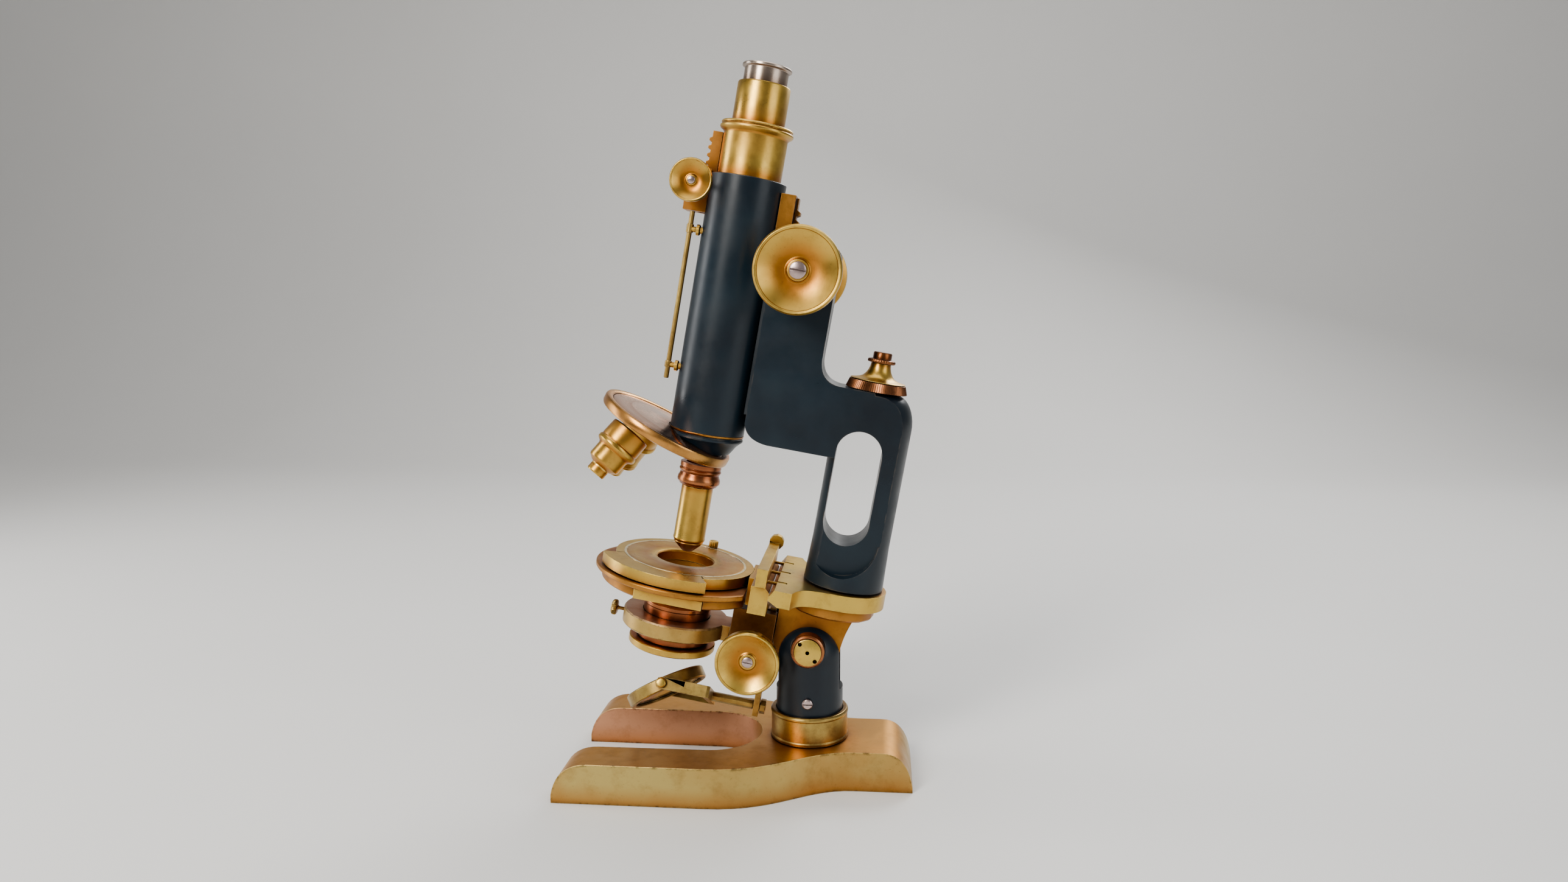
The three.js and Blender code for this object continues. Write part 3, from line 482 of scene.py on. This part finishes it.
def pivot_nut(side, s):
    disc = [(0, s * 12.6), (7.3, s * 12.6), (7.3, s * 21.0), (6.9, s * 21.2), (0, s * 21.2)]
    holes = [barrel("hole", 1.15, 17, 25, PIVOT @ shift(x, 0 if s > 0 else -42, z) @ ALONG_Y, 24)
             for x, z in ((-4, 4.6), (4, -4.6))]
    nut = boolean(turned(f"pivot_cap_{side}", disc, PIVOT @ ALONG_Y), holes)
    finished(nut, "stand", BRASS, [f"pivot_nut_{side}"], 0.15)
    ring = [(7.45, s * 12.6, 0.4), (9, s * 12.6, 0.4), (9, s * 19.2), (8.2, s * 19.9),
            (7.45, s * 19.9)]
    finished(turned(f"pivot_ring_{side}", ring, PIVOT @ ALONG_Y), "stand", COPPER, width=0.15)
    pin = [(0, s * 20), (1.5, s * 20), (1.5, s * 21.1), (1.1, s * 21.2), (0, s * 21.2)]
    finished(turned(f"pivot_centre_{side}", pin, PIVOT @ ALONG_Y, 32), "stand", STEEL, width=0.1)


pivot_nut("near", -1)
pivot_nut("far", 1)

# ---------------------------------------------------------------- arm


def arm():
    r, foot, top, flat, crown = 20.9, 36.4, 142, 14, 13
    round_top = [(r - crown * 0.85 * (1 - math.cos(math.radians(a))),
                  top - crown * 1.38 * (1 - math.sin(math.radians(a))))
                 for a in range(0, 91, 9)]
    profile = [(0, foot), (r + 0.8, foot), (r + 0.8, foot + 1), (r + 0.4, foot + 12), (r, 60),
               *round_top, (0, top)]
    piece = turned("arm_casting", profile, LIMB @ shift(ARM_U, 0, 0), 128)
    scoop = [(-30, 200), (-30, 62), *arc(7.5, 62, 19, 180, 360, 40), (60, 62), (60, 200)]
    flats = [side_plate("flat", scoop, *sorted((s * flat, s * 34)), LIMB) for s in (-1, 1)]
    boolean(piece, flats)
    web = [(-54.5, 210), *curve((-54.5, 114), (-53, 105.5), (-41, 104.5)), (4, 104.5), (10, 112),
           (14, 130), (10, top),
           (-9, top), *curve((-9, top), (-19.6, 143), (-20.2, 154))[1:], (-20.2, 208),
           *curve((-20.2, 208), (-21, 212), (-25, 212))[1:], (-52, 212)]
    boolean(piece, [side_plate("web", web, -flat, flat, LIMB)], "UNION")
    hand = [*arc(7.55, 71.4, 12.2, 180, 360), *arc(7.55, 108.6, 12.2, 0, 180)]
    cutters = [
        side_plate("hand", hand, -40, 40, LIMB),
        box("channel", (-60, -8.4, 90), (-44.4, 8.4, 230), LIMB),
        barrel("pinion_bore", 6.4, -20, 20, COARSE_AXLE @ ALONG_Y),
        barrel("post_bore", 9.3, 30, 55, LIMB @ shift(ARM_U, 0, 0)),
        barrel("spindle_bore", 3.2, 126, 150, LIMB @ shift(FINE_U, 0, 0)),
    ]
    return finished(boolean(piece, cutters), "arm", BLACK, ["arm"], 1.0)


arm()

# ---------------------------------------------------------------- fine adjustment knob
FINE = LIMB @ shift(FINE_U, 0, 0)


def milled(name, profile, place, teeth, depth, sides=None):
    """Turned work whose outer points, at the largest radius, are cut into fine ridges."""
    sides = sides or teeth * 4
    piece = turned(name, profile, WORLD, sides)
    largest = max(p[0] for p in profile) * MM
    for vert in piece.data.vertices:
        r = math.hypot(vert.co.x, vert.co.y)
        if r > largest * 0.86:
            wave = 0.5 + 0.5 * math.cos(teeth * math.atan2(vert.co.y, vert.co.x))
            scale = (r - depth * MM * wave) / r
            vert.co.x *= scale
            vert.co.y *= scale
    piece.data.transform(Matrix.Scale(MM, 4) @ place @ Matrix.Scale(1 / MM, 4))
    return piece


SKIRT = [(0, 128), (2.8, 128), (2.8, 142.4), (15.9, 142.4, 0.6), (16.5, 142.7, 0.4),
         (16.4, 143.2, 0.2), (15.1, 147.1, 0.2),
         (14.7, 147.35), (0, 147.35)]
finished(milled("fine_skirt", SKIRT, FINE, 90, 0.22), "fine_knob", DARK_COPPER,
         ["fine_knob_skirt"], 0)
SPOOL = [(0, 147.6), (14.6, 147.6, 0.6), (14.9, 147.75, 0.5), (14.6, 147.95, 0.2), (12.6, 148.3),
         (10.4, 148.8), (8.6, 149.7), (7.2, 151.2),
         (6.1, 153.2), (5.5, 155.2, 0.3), (5.3, 157, 0.8), (0, 157)]
finished(turned("fine_spool", SPOOL, FINE), "fine_knob", BRASS, ["fine_knob_spool"], 0.08)
CAP = [(0, 157.05), (6.8, 157.2), (7.4, 157.6), (7.5, 158.3), (7.2, 159), (6.4, 159.3),
       (5, 159.5, 0.8), (5, 162.4), (4.6, 163), (0, 163)]
finished(milled("fine_cap", CAP, FINE, 40, 0.2), "fine_knob", DARK_COPPER, width=0)

# ---------------------------------------------------------------- body tube


def body_tube():
    profile = [(18.4, 105.2), (20.1, 105.2), (20.1, 239.2), (19.8, 239.5), (18.4, 239.5)]
    piece = turned("main_tube", profile, OPTIC, 128)
    slot = box("slot", (-110, -4, 186), (OPTIC_U - 12, 4, 250), LIMB)
    finished(boolean(piece, [slot]), "body_tube", BLACK, ["body_tube"], 0.15)
    rim = [(18.4, 104.05), (20.0, 104.05), (20.15, 104.3), (20.15, 104.9), (20.0, 105.1),
           (18.4, 105.1)]
    finished(turned("main_tube_rim", rim, OPTIC, 128), "body_tube", AMBER, width=0.08)


body_tube()


def guide_rod():
    place = LIMB @ shift(-101, -7, 0)
    rod = [(0, 129.6), (1.0, 129.6), (1.35, 130), (1.35, 135.4), (1.9, 135.6), (1.9, 138.7),
           (1.35, 138.9), (1.35, 206.9),
           (1.9, 207.1), (1.9, 211.4), (1.35, 211.6), (1.35, 218.2), (0, 218.2)]
    finished(turned("guide_rod_bar", rod, place, 40), "body_tube", SOILED, ["guide_rod"], 0.1)
    for end, w in (("upper", 209), ("lower", 137)):
        post = [(0, 0.8), (1.5, 0.8), (1.5, 3.4), (2.2, 3.6, 0.4), (2.9, 3.7), (2.9, 5.2),
                (2.4, 5.6), (1.8, 5.8), (1.8, 11), (0, 11)]
        piece = turned(f"rod_bracket_{end}", post, place @ shift(0, 0, w) @ ALONG_X, 40)
        cut = barrel("tube_room", 20.3, w - 10, w + 10, OPTIC, 128)
        finished(boolean(piece, [cut]), "body_tube", BRASS, width=0.1)


guide_rod()

# ---------------------------------------------------------------- knobs


def knob_profile(radius, inner, outer, bore, s):
    depth = outer - inner

    def y(d):
        return s * (inner + depth * d)

    rim = radius * 0.1
    boss = radius * 0.26
    # The dish's third value rises towards the boss: painted shade in the hollow.
    dish = [(radius - rim - (radius - rim - boss * 1.15) * t,
             y(0.93 - 0.43 * math.sin(t * math.pi / 2)),
             min(1.0, 2.4 * t * t * (1.35 - t))) for t in (i / 10 for i in range(11))]
    return [
        (bore, y(0)), (boss * 1.4, y(0)), (boss * 1.6, y(0.06)), (radius * 0.86, y(0.36), 0.6),
        (radius, y(0.47), 0.3),
        (radius, y(0.52)), (radius, y(0.9)), (radius - rim * 0.4, y(1)),
        (radius - rim * 0.9, y(0.98)), *dish,
        (boss, y(0.54), 0.5), (boss * 0.94, y(0.6)), (boss * 0.7, y(0.62)), (bore, y(0.62), 0.9),
    ]


def knobs(node_name, piece_name, place, body, radius, inner, outer, bore, screw):
    for side, s in (("near", -1), ("far", 1)):
        profile = knob_profile(radius, inner, outer, bore, s)
        piece = turned(f"{piece_name}_{side}", profile, place @ ALONG_Y, 96)
        finished(piece, body, BRASS, [f"{node_name}_{side}"], 0.2)
        face = inner + (outer - inner) * 0.62
        slotted_screw(f"{piece_name}_screw_{side}", screw, face + 0.1, screw * 0.4, place, body, s)


knobs("coarse_knob", "coarse_milled_head", COARSE_AXLE, "coarse_drive", 22.3, 28, 42, 3.7, 4.3)
knobs("draw_knob", "draw_milled_head", DRAW_AXLE, "draw_drive", 11, 17.5, 25, 1.7, 1.9)
knobs("substage_knob", "substage_milled_head", SUBSTAGE_AXLE, "substage_drive", 17, 25, 35, 2.1,
      2.9)

# ---------------------------------------------------------------- draw tubes and eyepiece
SLEEVE = [(14.3, 150), (16.9, 150), (16.9, 239), (16.9, 241, 0.8), (16.9, 246), (16.9, 260.9),
          (17.0, 261.5, 0.7), (17.6, 262.3, 0.3), (19.0, 263.2),
          (19.4, 263.8), (19.4, 264.6), (18.9, 265.2, 0.6), (18.4, 265.6, 0.9), (18.9, 266),
          (19.0, 266.5), (18.5, 267.1), (14.3, 267.1)]
finished(turned("sliding_sleeve", SLEEVE, OPTIC, 128), "draw_sleeve", BRASS, ["draw_sleeve"], 0.12)
DRAW = [(12, 190), (13.9, 190), (13.9, 267.1, 0.9), (13.9, 270.5, 0.3), (13.9, 287.3),
        (13.6, 287.9), (13.2, 288.1), (12.2, 288.1, 0.5), (12, 287.7, 0.8)]
finished(turned("inner_draw_tube", DRAW, OPTIC, 128), "draw_tube", BRASS, ["draw_tube"], 0.12)
OCULAR = [(10, 264), (11.6, 264), (11.6, 288.1, 0.9), (11.6, 291.6, 0.3), (11.6, 295.3),
          (12.6, 295.7), (13, 296), (13, 297), (12.6, 297.4),
          (12, 297.5), (9.4, 297.4), (7.4, 296.3, 0.5), (6.1, 295.7, 0.9), (6.1, 291.7, 1),
          (10, 289.7, 1)]
finished(turned("ocular_mount", OCULAR, OPTIC, 128), "eyepiece", NICKEL, ["eyepiece"], 0.12)
finished(turned("ocular_lens",
                [(0, 291.1), (5.9, 292.3), (5.9, 294.1), (4, 295), (2, 295.4), (0, 295.5)], OPTIC,
                64),
         "eyepiece", GLASS, ["eye_lens"], 0.05)

# ---------------------------------------------------------------- nosepiece and objectives


def nosepiece():
    dome = [(0, 5.4), (2.8, 5.4), (2.8, 2.6), (33.4, 2.6), (33.4, 4.9, 0.9), (32.6, 5.1, 0.5),
            (28, 5.45, 0.1), (24, 5.8, 0.5),
            (23.4, 5.85, 0.7), (22.6, 5.9, 0.1), (16, 6.3), (8, 6.65), (0, 6.8)]
    plate = turned("nosepiece_dome", dome, NOSE, 128)
    path = barrel("path", 8, 60, 120, OPTIC, 64)
    tube_room = barrel("tube_room", 21.1, 103.7, 130, OPTIC, 128)
    finished(boolean(plate, [path, tube_room]), "body_tube", ROSE, ["nosepiece_plate"], 0.12)
    neck = [(8, 94), (14, 94, 1), (15.4, 96, 1), (17, 98.6, 1), (19.4, 101, 1), (20.1, 101.6, 0.6),
            (20.1, 102.4), (19.6, 103, 1),
            (19.9, 103.7, 1), (8, 103.7)]
    neck_piece = turned("nosepiece_neck", neck, OPTIC, 128)
    floor = turned("floor", [(0, -40), (60, -40), (60, 2.6), (0, 2.6)], NOSE, 32)
    rim_room = turned("rim", [(33.4, -20), (60, -20), (60, 6.1), (33.4, 6.1)], NOSE, 128)
    finished(boolean(neck_piece, [floor, rim_room]), "body_tube", BLACK, width=0.1)
    r = 37.8
    cup = [(2.8, -1.2), (9, -1.6, 0.5), (13, -0.6, 0.9), (14.6, 0, 0.6), (r - 1.8, 0, 0.3),
           (r - 0.5, 0.5), (r, 1.5), (r, 4.6), (r - 0.5, 5.5),
           (r - 1.4, 5.8), (r - 3.2, 5.6), (r - 4, 5, 0.6), (r - 4, 2.3, 1), (2.8, 2.3)]
    holes = [barrel("hole", 6, -20, 20, NOSE @ turned_place,
                    48) for turned_place in OBJECTIVE_PLACES]
    finished(boolean(turned("nosepiece_cup", cup, NOSE, 160), holes), "nosepiece", CUP_METAL,
             ["nosepiece_disc"], 0.15)
    pin = [(0, -3.6), (3, -3.5), (4.4, -3.1), (5.2, -2.3), (5.2, -1.9), (2.5, -1.9), (2.5, 5.2),
           (0, 5.2)]
    finished(turned("nosepiece_pivot", pin, NOSE, 64), "nosepiece", COPPER, ["nosepiece_pin"], 0.1)


# Third values: painted shade in the grooves and undercuts and on the lower ends, with some browner
# tone.
HIGH_MOUNT = [(8.2, -4), (11.2, -4.2, 0.6), (11.2, -6.4), (10.8, -6.8, 1), (11.1, -7.2),
              (11.5, -8, 0.1), (11.1, -9, 0.6), (10.5, -9.6, 1),
              (10.9, -11, 0.6), (11.5, -12.2), (11.7, -13.6), (11.5, -14.6, 0.3),
              (10.6, -15.4, 0.7), (10.2, -16.2, 0.4), (8.8, -16.8, 1), (8.2, -16.8)]
HIGH_BARREL = [(6.4, -17), (8.6, -17, 0.9), (8.6, -20, 0.2), (8.6, -45.2), (8.8, -46),
               (8.8, -46.6), (8.5, -47.2, 0.6), (8.0, -48, 1), (8.1, -48.4, 0.9),
               (7.2, -49.6, 1), (3.3, -53.2, 1), (2.8, -53.6, 1), (1.2, -53.6), (1.2, -50),
               (6.4, -44)]
MID = [(8, -4), (10.9, -4.4, 0.9), (11.4, -5, 0.5), (11.4, -14, 0.35), (11.2, -14.8, 0.9),
       (11.7, -15.4, 0.4), (12, -16), (12, -17.4), (11.4, -18.2, 0.3), (9.8, -19.2, 0.9),
       (9.3, -20, 0.3), (9.2, -31), (9.5, -31.6, 0.4), (9.6, -32.6), (9.3, -33.2, 0.8), (9.6, -34),
       (9.1, -34.6, 0.4), (5.6, -36.2, 0.9),
       (5.2, -37, 0.4), (5.2, -43.8), (4.8, -44.3), (3.4, -44.3), (3.4, -35), (7, -31)]
LOW = [(8, -4), (10.6, -4.4, 0.9), (11, -5, 0.6), (11.2, -13, 0.4), (11, -13.8, 0.9),
       (11.5, -14.4, 0.4), (11.8, -15), (11.8, -16.4), (11.2, -17.2, 0.3), (9.6, -18.2, 0.9),
       (9.2, -19, 0.3), (9.2, -25.4), (8.8, -26.4, 0.3), (6.4, -28, 0.8), (5.2, -28.6, 0.8),
       (5.2, -32.4), (4.8, -33), (3.6, -33), (7, -24)]


def objective(name, profile, index, material, node_name=None):
    piece = turned(name, profile, NOSE @ OBJECTIVE_PLACES[index], 96)
    above = turned("above", [(0, -0.3), (60, -0.3), (60, 30), (0, 30)], NOSE, 32)
    hub = turned("hub", [(0, -2), (9.4, -2), (9.4, 10), (0, 10)], NOSE, 64)
    finished(boolean(piece, [above, hub]), "nosepiece", material, [node_name] if node_name else (),
             0.12)


nosepiece()
objective("objective_high_mount", HIGH_MOUNT, 0, COPPER)
objective("objective_high_barrel", HIGH_BARREL, 0, BRASS, "objective_high")
objective("objective_mid_barrel", MID, 1, BRASS, "objective_mid")
objective("objective_low_barrel", LOW, 2, BRASS, "objective_low")
for index, (name, r, z) in enumerate((("high", 1.1, -53.2), ("mid", 3.3, -43.5),
                                      ("low", 3.5, -32.2))):
    lens = [(0, z - 0.3), (r * 0.6, z - 0.15), (r, z), (r, z + 0.6), (0, z + 0.8)]
    finished(turned(f"front_lens_{name}", lens, NOSE @ OBJECTIVE_PLACES[index], 40), "nosepiece",
             GLASS, width=0.02)

# ---------------------------------------------------------------- stage
FLANGE = [(17, 23.2), (46.6, 23.2, 0.6), (47.6, 23.6), (48, 24.2), (48, 25.8), (47.6, 26.3),
          (46.8, 26.5), (45, 26.5, 0.9), (17, 26.5)]
NOTCH = (-38.2, -31, 10), (-20, 31, 40)
finished(boolean(turned("stage_ledge", FLANGE, OPTIC, 160), [box("notch", *NOTCH, LIMB)]), "limb",
         AMBER, ["stage_flange"], 0.15)


def underplate():
    ring = [(17, 17.8), (43.2, 17.8, 0.4), (44, 18.6), (44, 22.2), (43.4, 22.9, 0.7), (17, 22.9)]
    cutters = [box("notch", *NOTCH, LIMB),
               box("cross_room", (-93.7, -60, 10), (-57.3, 60, 40), LIMB)]
    finished(boolean(turned("stage_carrier", ring, OPTIC, 160), cutters), "limb", AMBER,
             ["stage_underplate"], 0.3)
    cross = box("stage_cross_bar", (-93.5, -42.5, 17.8), (-57.5, 42.5, 22.9), LIMB)
    hole = barrel("hole", 17, 10, 30, OPTIC, 96)
    finished(boolean(cross, [hole]), "limb", BRASS, width=0.3)


underplate()


def stage_disc():
    """A disc with a wider sector; the rim radius follows the angle, so it is built ring by ring."""
    bottom, top, disc, lobe = 27.1, 32.8, 38.2, 45.5
    first, last = -158, -66
    steps = [(math.radians(first + (last - first) * i / 60), lobe) for i in range(61)]
    steps += [(math.radians(last + 0.05 + (360 + first - last - 0.1) * i / 150),
               disc) for i in range(151)]
    # Third values: painted shade, darkest in the bore and on the underside, none on the top.
    section = [(15.5, bottom, 1), (None, bottom, 0.5), (None, top, 0), (16.3, top, 0.3),
               (15.5, top - 0.8, 1)]
    bm = bmesh.new()
    shade_and_tone = bm.verts.layers.float.new("shade_and_tone")
    rings = []
    for r, z, shade in section:
        rings.append([bm.verts.new(((r or rim) * math.cos(a), (r or rim) * math.sin(a), z)) for a,
                      rim in steps])
        for vert in rings[-1]:
            vert[shade_and_tone] = shade
    for ring, after in zip(rings, rings[1:] + rings[:1]):
        for i in range(len(steps)):
            j = (i + 1) % len(steps)
            bm.faces.new((ring[i], ring[j], after[j], after[i]))
    finished(mesh_object("stage_table", bm, OPTIC), "stage", BRASS, ["stage_disc"], 0.3)
    dish = [(16.6, top - 0.1, 0.2), (17, top + 0.06, 0.2), (22, top + 0.12, 0.75),
            (28, top + 0.12, 0.4), (31.6, top + 0.1, 0.55),
            (32.4, top + 0.02, 0.9), (32.4, top - 0.1), (16.6, top - 0.1)]
    finished(turned("stage_inner_table", dish, OPTIC, 160), "stage", BRASS, width=0.05)
    # A thin pale ring at the joint between the table and its inner disc: a painted highlight where
    # the joint's bevel catches the light.
    line = [(32.6, top - 0.3), (32.6, top + 0.16), (33.8, top + 0.16), (33.8, top - 0.3)]
    finished(turned("stage_joint_highlight", line, OPTIC, 160), "stage", HIGHLIGHT_BRASS, width=0.05)


stage_disc()
CLAMP = [(0, 33.1), (2.5, 33.1, 0.5), (2.7, 33.4), (2.7, 36.2), (2.4, 36.8), (1.6, 37), (0, 37)]
finished(milled("stage_clamp_head", CLAMP, OPTIC @ shift(10, 34.5, 0), 24, 0.2), "stage", BRASS,
         ["stage_clamp_screw"], 0)

# ---------------------------------------------------------------- substage


def substage():
    holder = [(18.9, -6.5, 0.4), (28.2, -6.5, 0.3), (29, -5.7), (29, 1.2), (28.4, 2),
              (18.9, 2, 0.5)]
    piece = turned("condenser_holder", holder, OPTIC, 128)
    boolean(piece, [box("arm", (OPTIC_U + 24, -9, -6.5), (-43.9, 9, 2), LIMB)], "UNION")
    cutters = [barrel("room", 18.9, -20, 20, OPTIC, 128),
               turned("screw_hole", [(0, -115), (1.3, -115), (1.3, OPTIC_U - 15),
                                     (0, OPTIC_U - 15)],
                      CENTRING_AXIS, 32)]
    finished(boolean(piece, cutters), "substage", HOLDER_METAL, ["substage_ring"], 0.4)
    body = [(15.8, -12.4), (19.6, -12.4, 0.5), (20, -12), (20, -7.4), (19.6, -6.9),
            (18.5, -6.9, 0.8), (18.5, 6.4, 0.2), (18.9, 6.8), (18.9, 8.6), (18.3, 9.4),
            (16.8, 11, 0.8), (15.2, 11.6, 1), (13, 12.5, 1), (10.6, 14.8, 1), (10.2, 15, 1),
            (9, 15, 1), (9, 9, 1), (15.8, 6, 1)]
    finished(turned("condenser_barrel", body, OPTIC, 128), "substage", COPPER, ["condenser"], 0.15)
    lens = [(0, 6.4), (8.6, 9.4), (8.6, 14.4), (7, 15.1), (4, 15.7), (0, 15.95)]
    finished(turned("condenser_top_lens", lens, OPTIC, 64), "substage", GLASS, ["condenser_lens"],
             0.05)
    iris = [(6, -14.6, 1), (21, -14.6, 1), (22, -15.2, 0.6), (22, -17, 0.5), (23.4, -17),
            (24, -16.4), (24, -13.4), (23.4, -12.8), (20.4, -12.8, 0.8), (6, -13.6, 1)]
    finished(turned("iris_mount", iris, OPTIC, 128), "iris", BRASS, ["iris_ring"], 0.15)
    screw = [(0, -111.8), (3.4, -111.8), (4.1, -111.3), (4.3, -110.8), (4.3, -109.6), (4, -109),
             (3.2, -108.6, 0.4), (1.3, -108.4, 0.6), (1, -107.6, 0.4), (1, -94.4), (0, -94.4)]
    finished(milled("centring_thumbscrew", screw, CENTRING_AXIS, 28, 0.25), "substage", SOILED,
             ["condenser_thumbscrew"], 0)


substage()

# ---------------------------------------------------------------- mirror


def mirror():
    r, h = 22.5, 3.4
    ring = [(r - 3, -h, 0.3), (r - 0.6, -h), (r, -h + 0.6), (r, h - 0.6), (r - 0.6, h),
            (r - 3, h, 0.3), (r - 3, h - 1, 0.8), (r - 1.8, h - 1),
            (r - 1.8, 1 - h), (r - 3, 1 - h, 0.8)]
    piece = turned("mirror_frame", ring, MIRROR, 128)
    trunnions = [barrel("trunnion", 1.4, a, b, MIRROR @ ALONG_Y, 32) for a,
                 b in ((-29, -r + 1), (r - 1, 29))]
    finished(boolean(piece, trunnions, "UNION"), "mirror", SOILED, ["mirror_ring"], 0.15)
    for side, s in (("near", -1), ("far", 1)):
        head = [(0, s * 27.1), (2.4, s * 27.1), (2.6, s * 27.4), (2.6, s * 28.4), (2, s * 29.1),
                (0, s * 29.4)]
        finished(turned(f"mirror_screw_{side}", head, MIRROR @ ALONG_Y, 40), "mirror", BRASS,
                 width=0.1)
    glass_profile = [(0, -2.1), (20.1, -2.1), (20.4, -1.8), (20.4, 1.8), (20.1, 2.1), (0, 2.1)]
    finished(turned("mirror_disc", glass_profile, MIRROR, 128), "mirror", SILVER, ["mirror_glass"],
             0.1)


mirror()

# ---------------------------------------------------------------- floor, light and camera


def stage_set():
    bm = bmesh.new()
    back, rise, half, steps = 1.9, 1.6, 4.0, 16
    path = [(-3.0, 0.0), (back - 0.8, 0.0)]
    path += [(back - 0.8 + 0.8 * math.sin(a), 0.8 - 0.8 * math.cos(a))
             for a in (math.pi / 2 * i / steps for i in range(1, steps + 1))]
    path.append((back, 0.8 + rise))
    rows = [[bm.verts.new((x, y, z)) for x in (-half, half)] for y, z in path]
    for a, b in zip(rows, rows[1:]):
        bm.faces.new((a[0], a[1], b[1], b[0]))
    mesh = bpy.data.meshes.new("floor")
    bm.to_mesh(mesh)
    bm.free()
    mesh.polygons.foreach_set("use_smooth", [True] * len(mesh.polygons))
    floor = bpy.data.objects.new("floor", mesh)
    bpy.context.scene.collection.objects.link(floor)
    mat, tree, bsdf = new_material("pale_floor")
    shade = mix(tree, noise(tree, 3), (0.62, 0.61, 0.59, 1), (0.66, 0.65, 0.63, 1))
    tree.links.new(shade, bsdf.inputs["Base Color"])
    bsdf.inputs["Roughness"].default_value = 0.6
    mesh.materials.append(mat)


def area_light(name, where, target, size, power, color=(1, 1, 1)):
    data = bpy.data.lights.new(name, "AREA")
    data.shape = "RECTANGLE"
    data.size, data.size_y = size
    data.energy = power
    data.color = color
    light = bpy.data.objects.new(name, data)
    light.location = where
    light.rotation_mode = "QUATERNION"
    light.rotation_quaternion = (Vector(target) - Vector(where)).to_track_quat("-Z", "Y")
    bpy.context.scene.collection.objects.link(light)


CAMERA_AT = (0.0358, -0.5678, 0.2556)
CAMERA_AZIMUTH, CAMERA_ELEVATION = 5.04, 7.02
CAMERA_LENS, SENSOR_WIDTH = 24.44, 36


def camera():
    azimuth, elevation = math.radians(CAMERA_AZIMUTH), math.radians(CAMERA_ELEVATION)
    back = Vector((math.sin(azimuth) * math.cos(elevation),
                   -math.cos(azimuth) * math.cos(elevation), math.sin(elevation)))
    data = bpy.data.cameras.new("camera")
    data.sensor_width = SENSOR_WIDTH
    data.lens = CAMERA_LENS
    made = bpy.data.objects.new("camera", data)
    made.location = CAMERA_AT
    made.rotation_mode = "QUATERNION"
    made.rotation_quaternion = (-back).to_track_quat("-Z", "Y")
    bpy.context.scene.collection.objects.link(made)
    bpy.context.scene.camera = made


stage_set()
MIDDLE = (-0.02, 0, 0.18)
area_light("key", (-0.75, -1.2, 1.05), MIDDLE, (0.5, 0.9), 36, (1.0, 0.97, 0.92))
area_light("fill", (1.3, -0.8, 0.6), MIDDLE, (0.8, 1.0), 9, (0.94, 0.97, 1.0))
area_light("rim", (0.6, 1.2, 1.1), MIDDLE, (0.7, 0.7), 16)
area_light("left_strip", (-1.2, 0.1, 0.35), MIDDLE, (0.3, 1.0), 9)
area_light("above", (0, 0.1, 1.7), MIDDLE, (1.2, 1.2), 16)
world = bpy.data.worlds.new("studio")
world.use_nodes = True
world.node_tree.nodes["Background"].inputs["Color"].default_value = (0.74, 0.75, 0.77, 1)
world.node_tree.nodes["Background"].inputs["Strength"].default_value = 0.32
bpy.context.scene.world = world
camera()
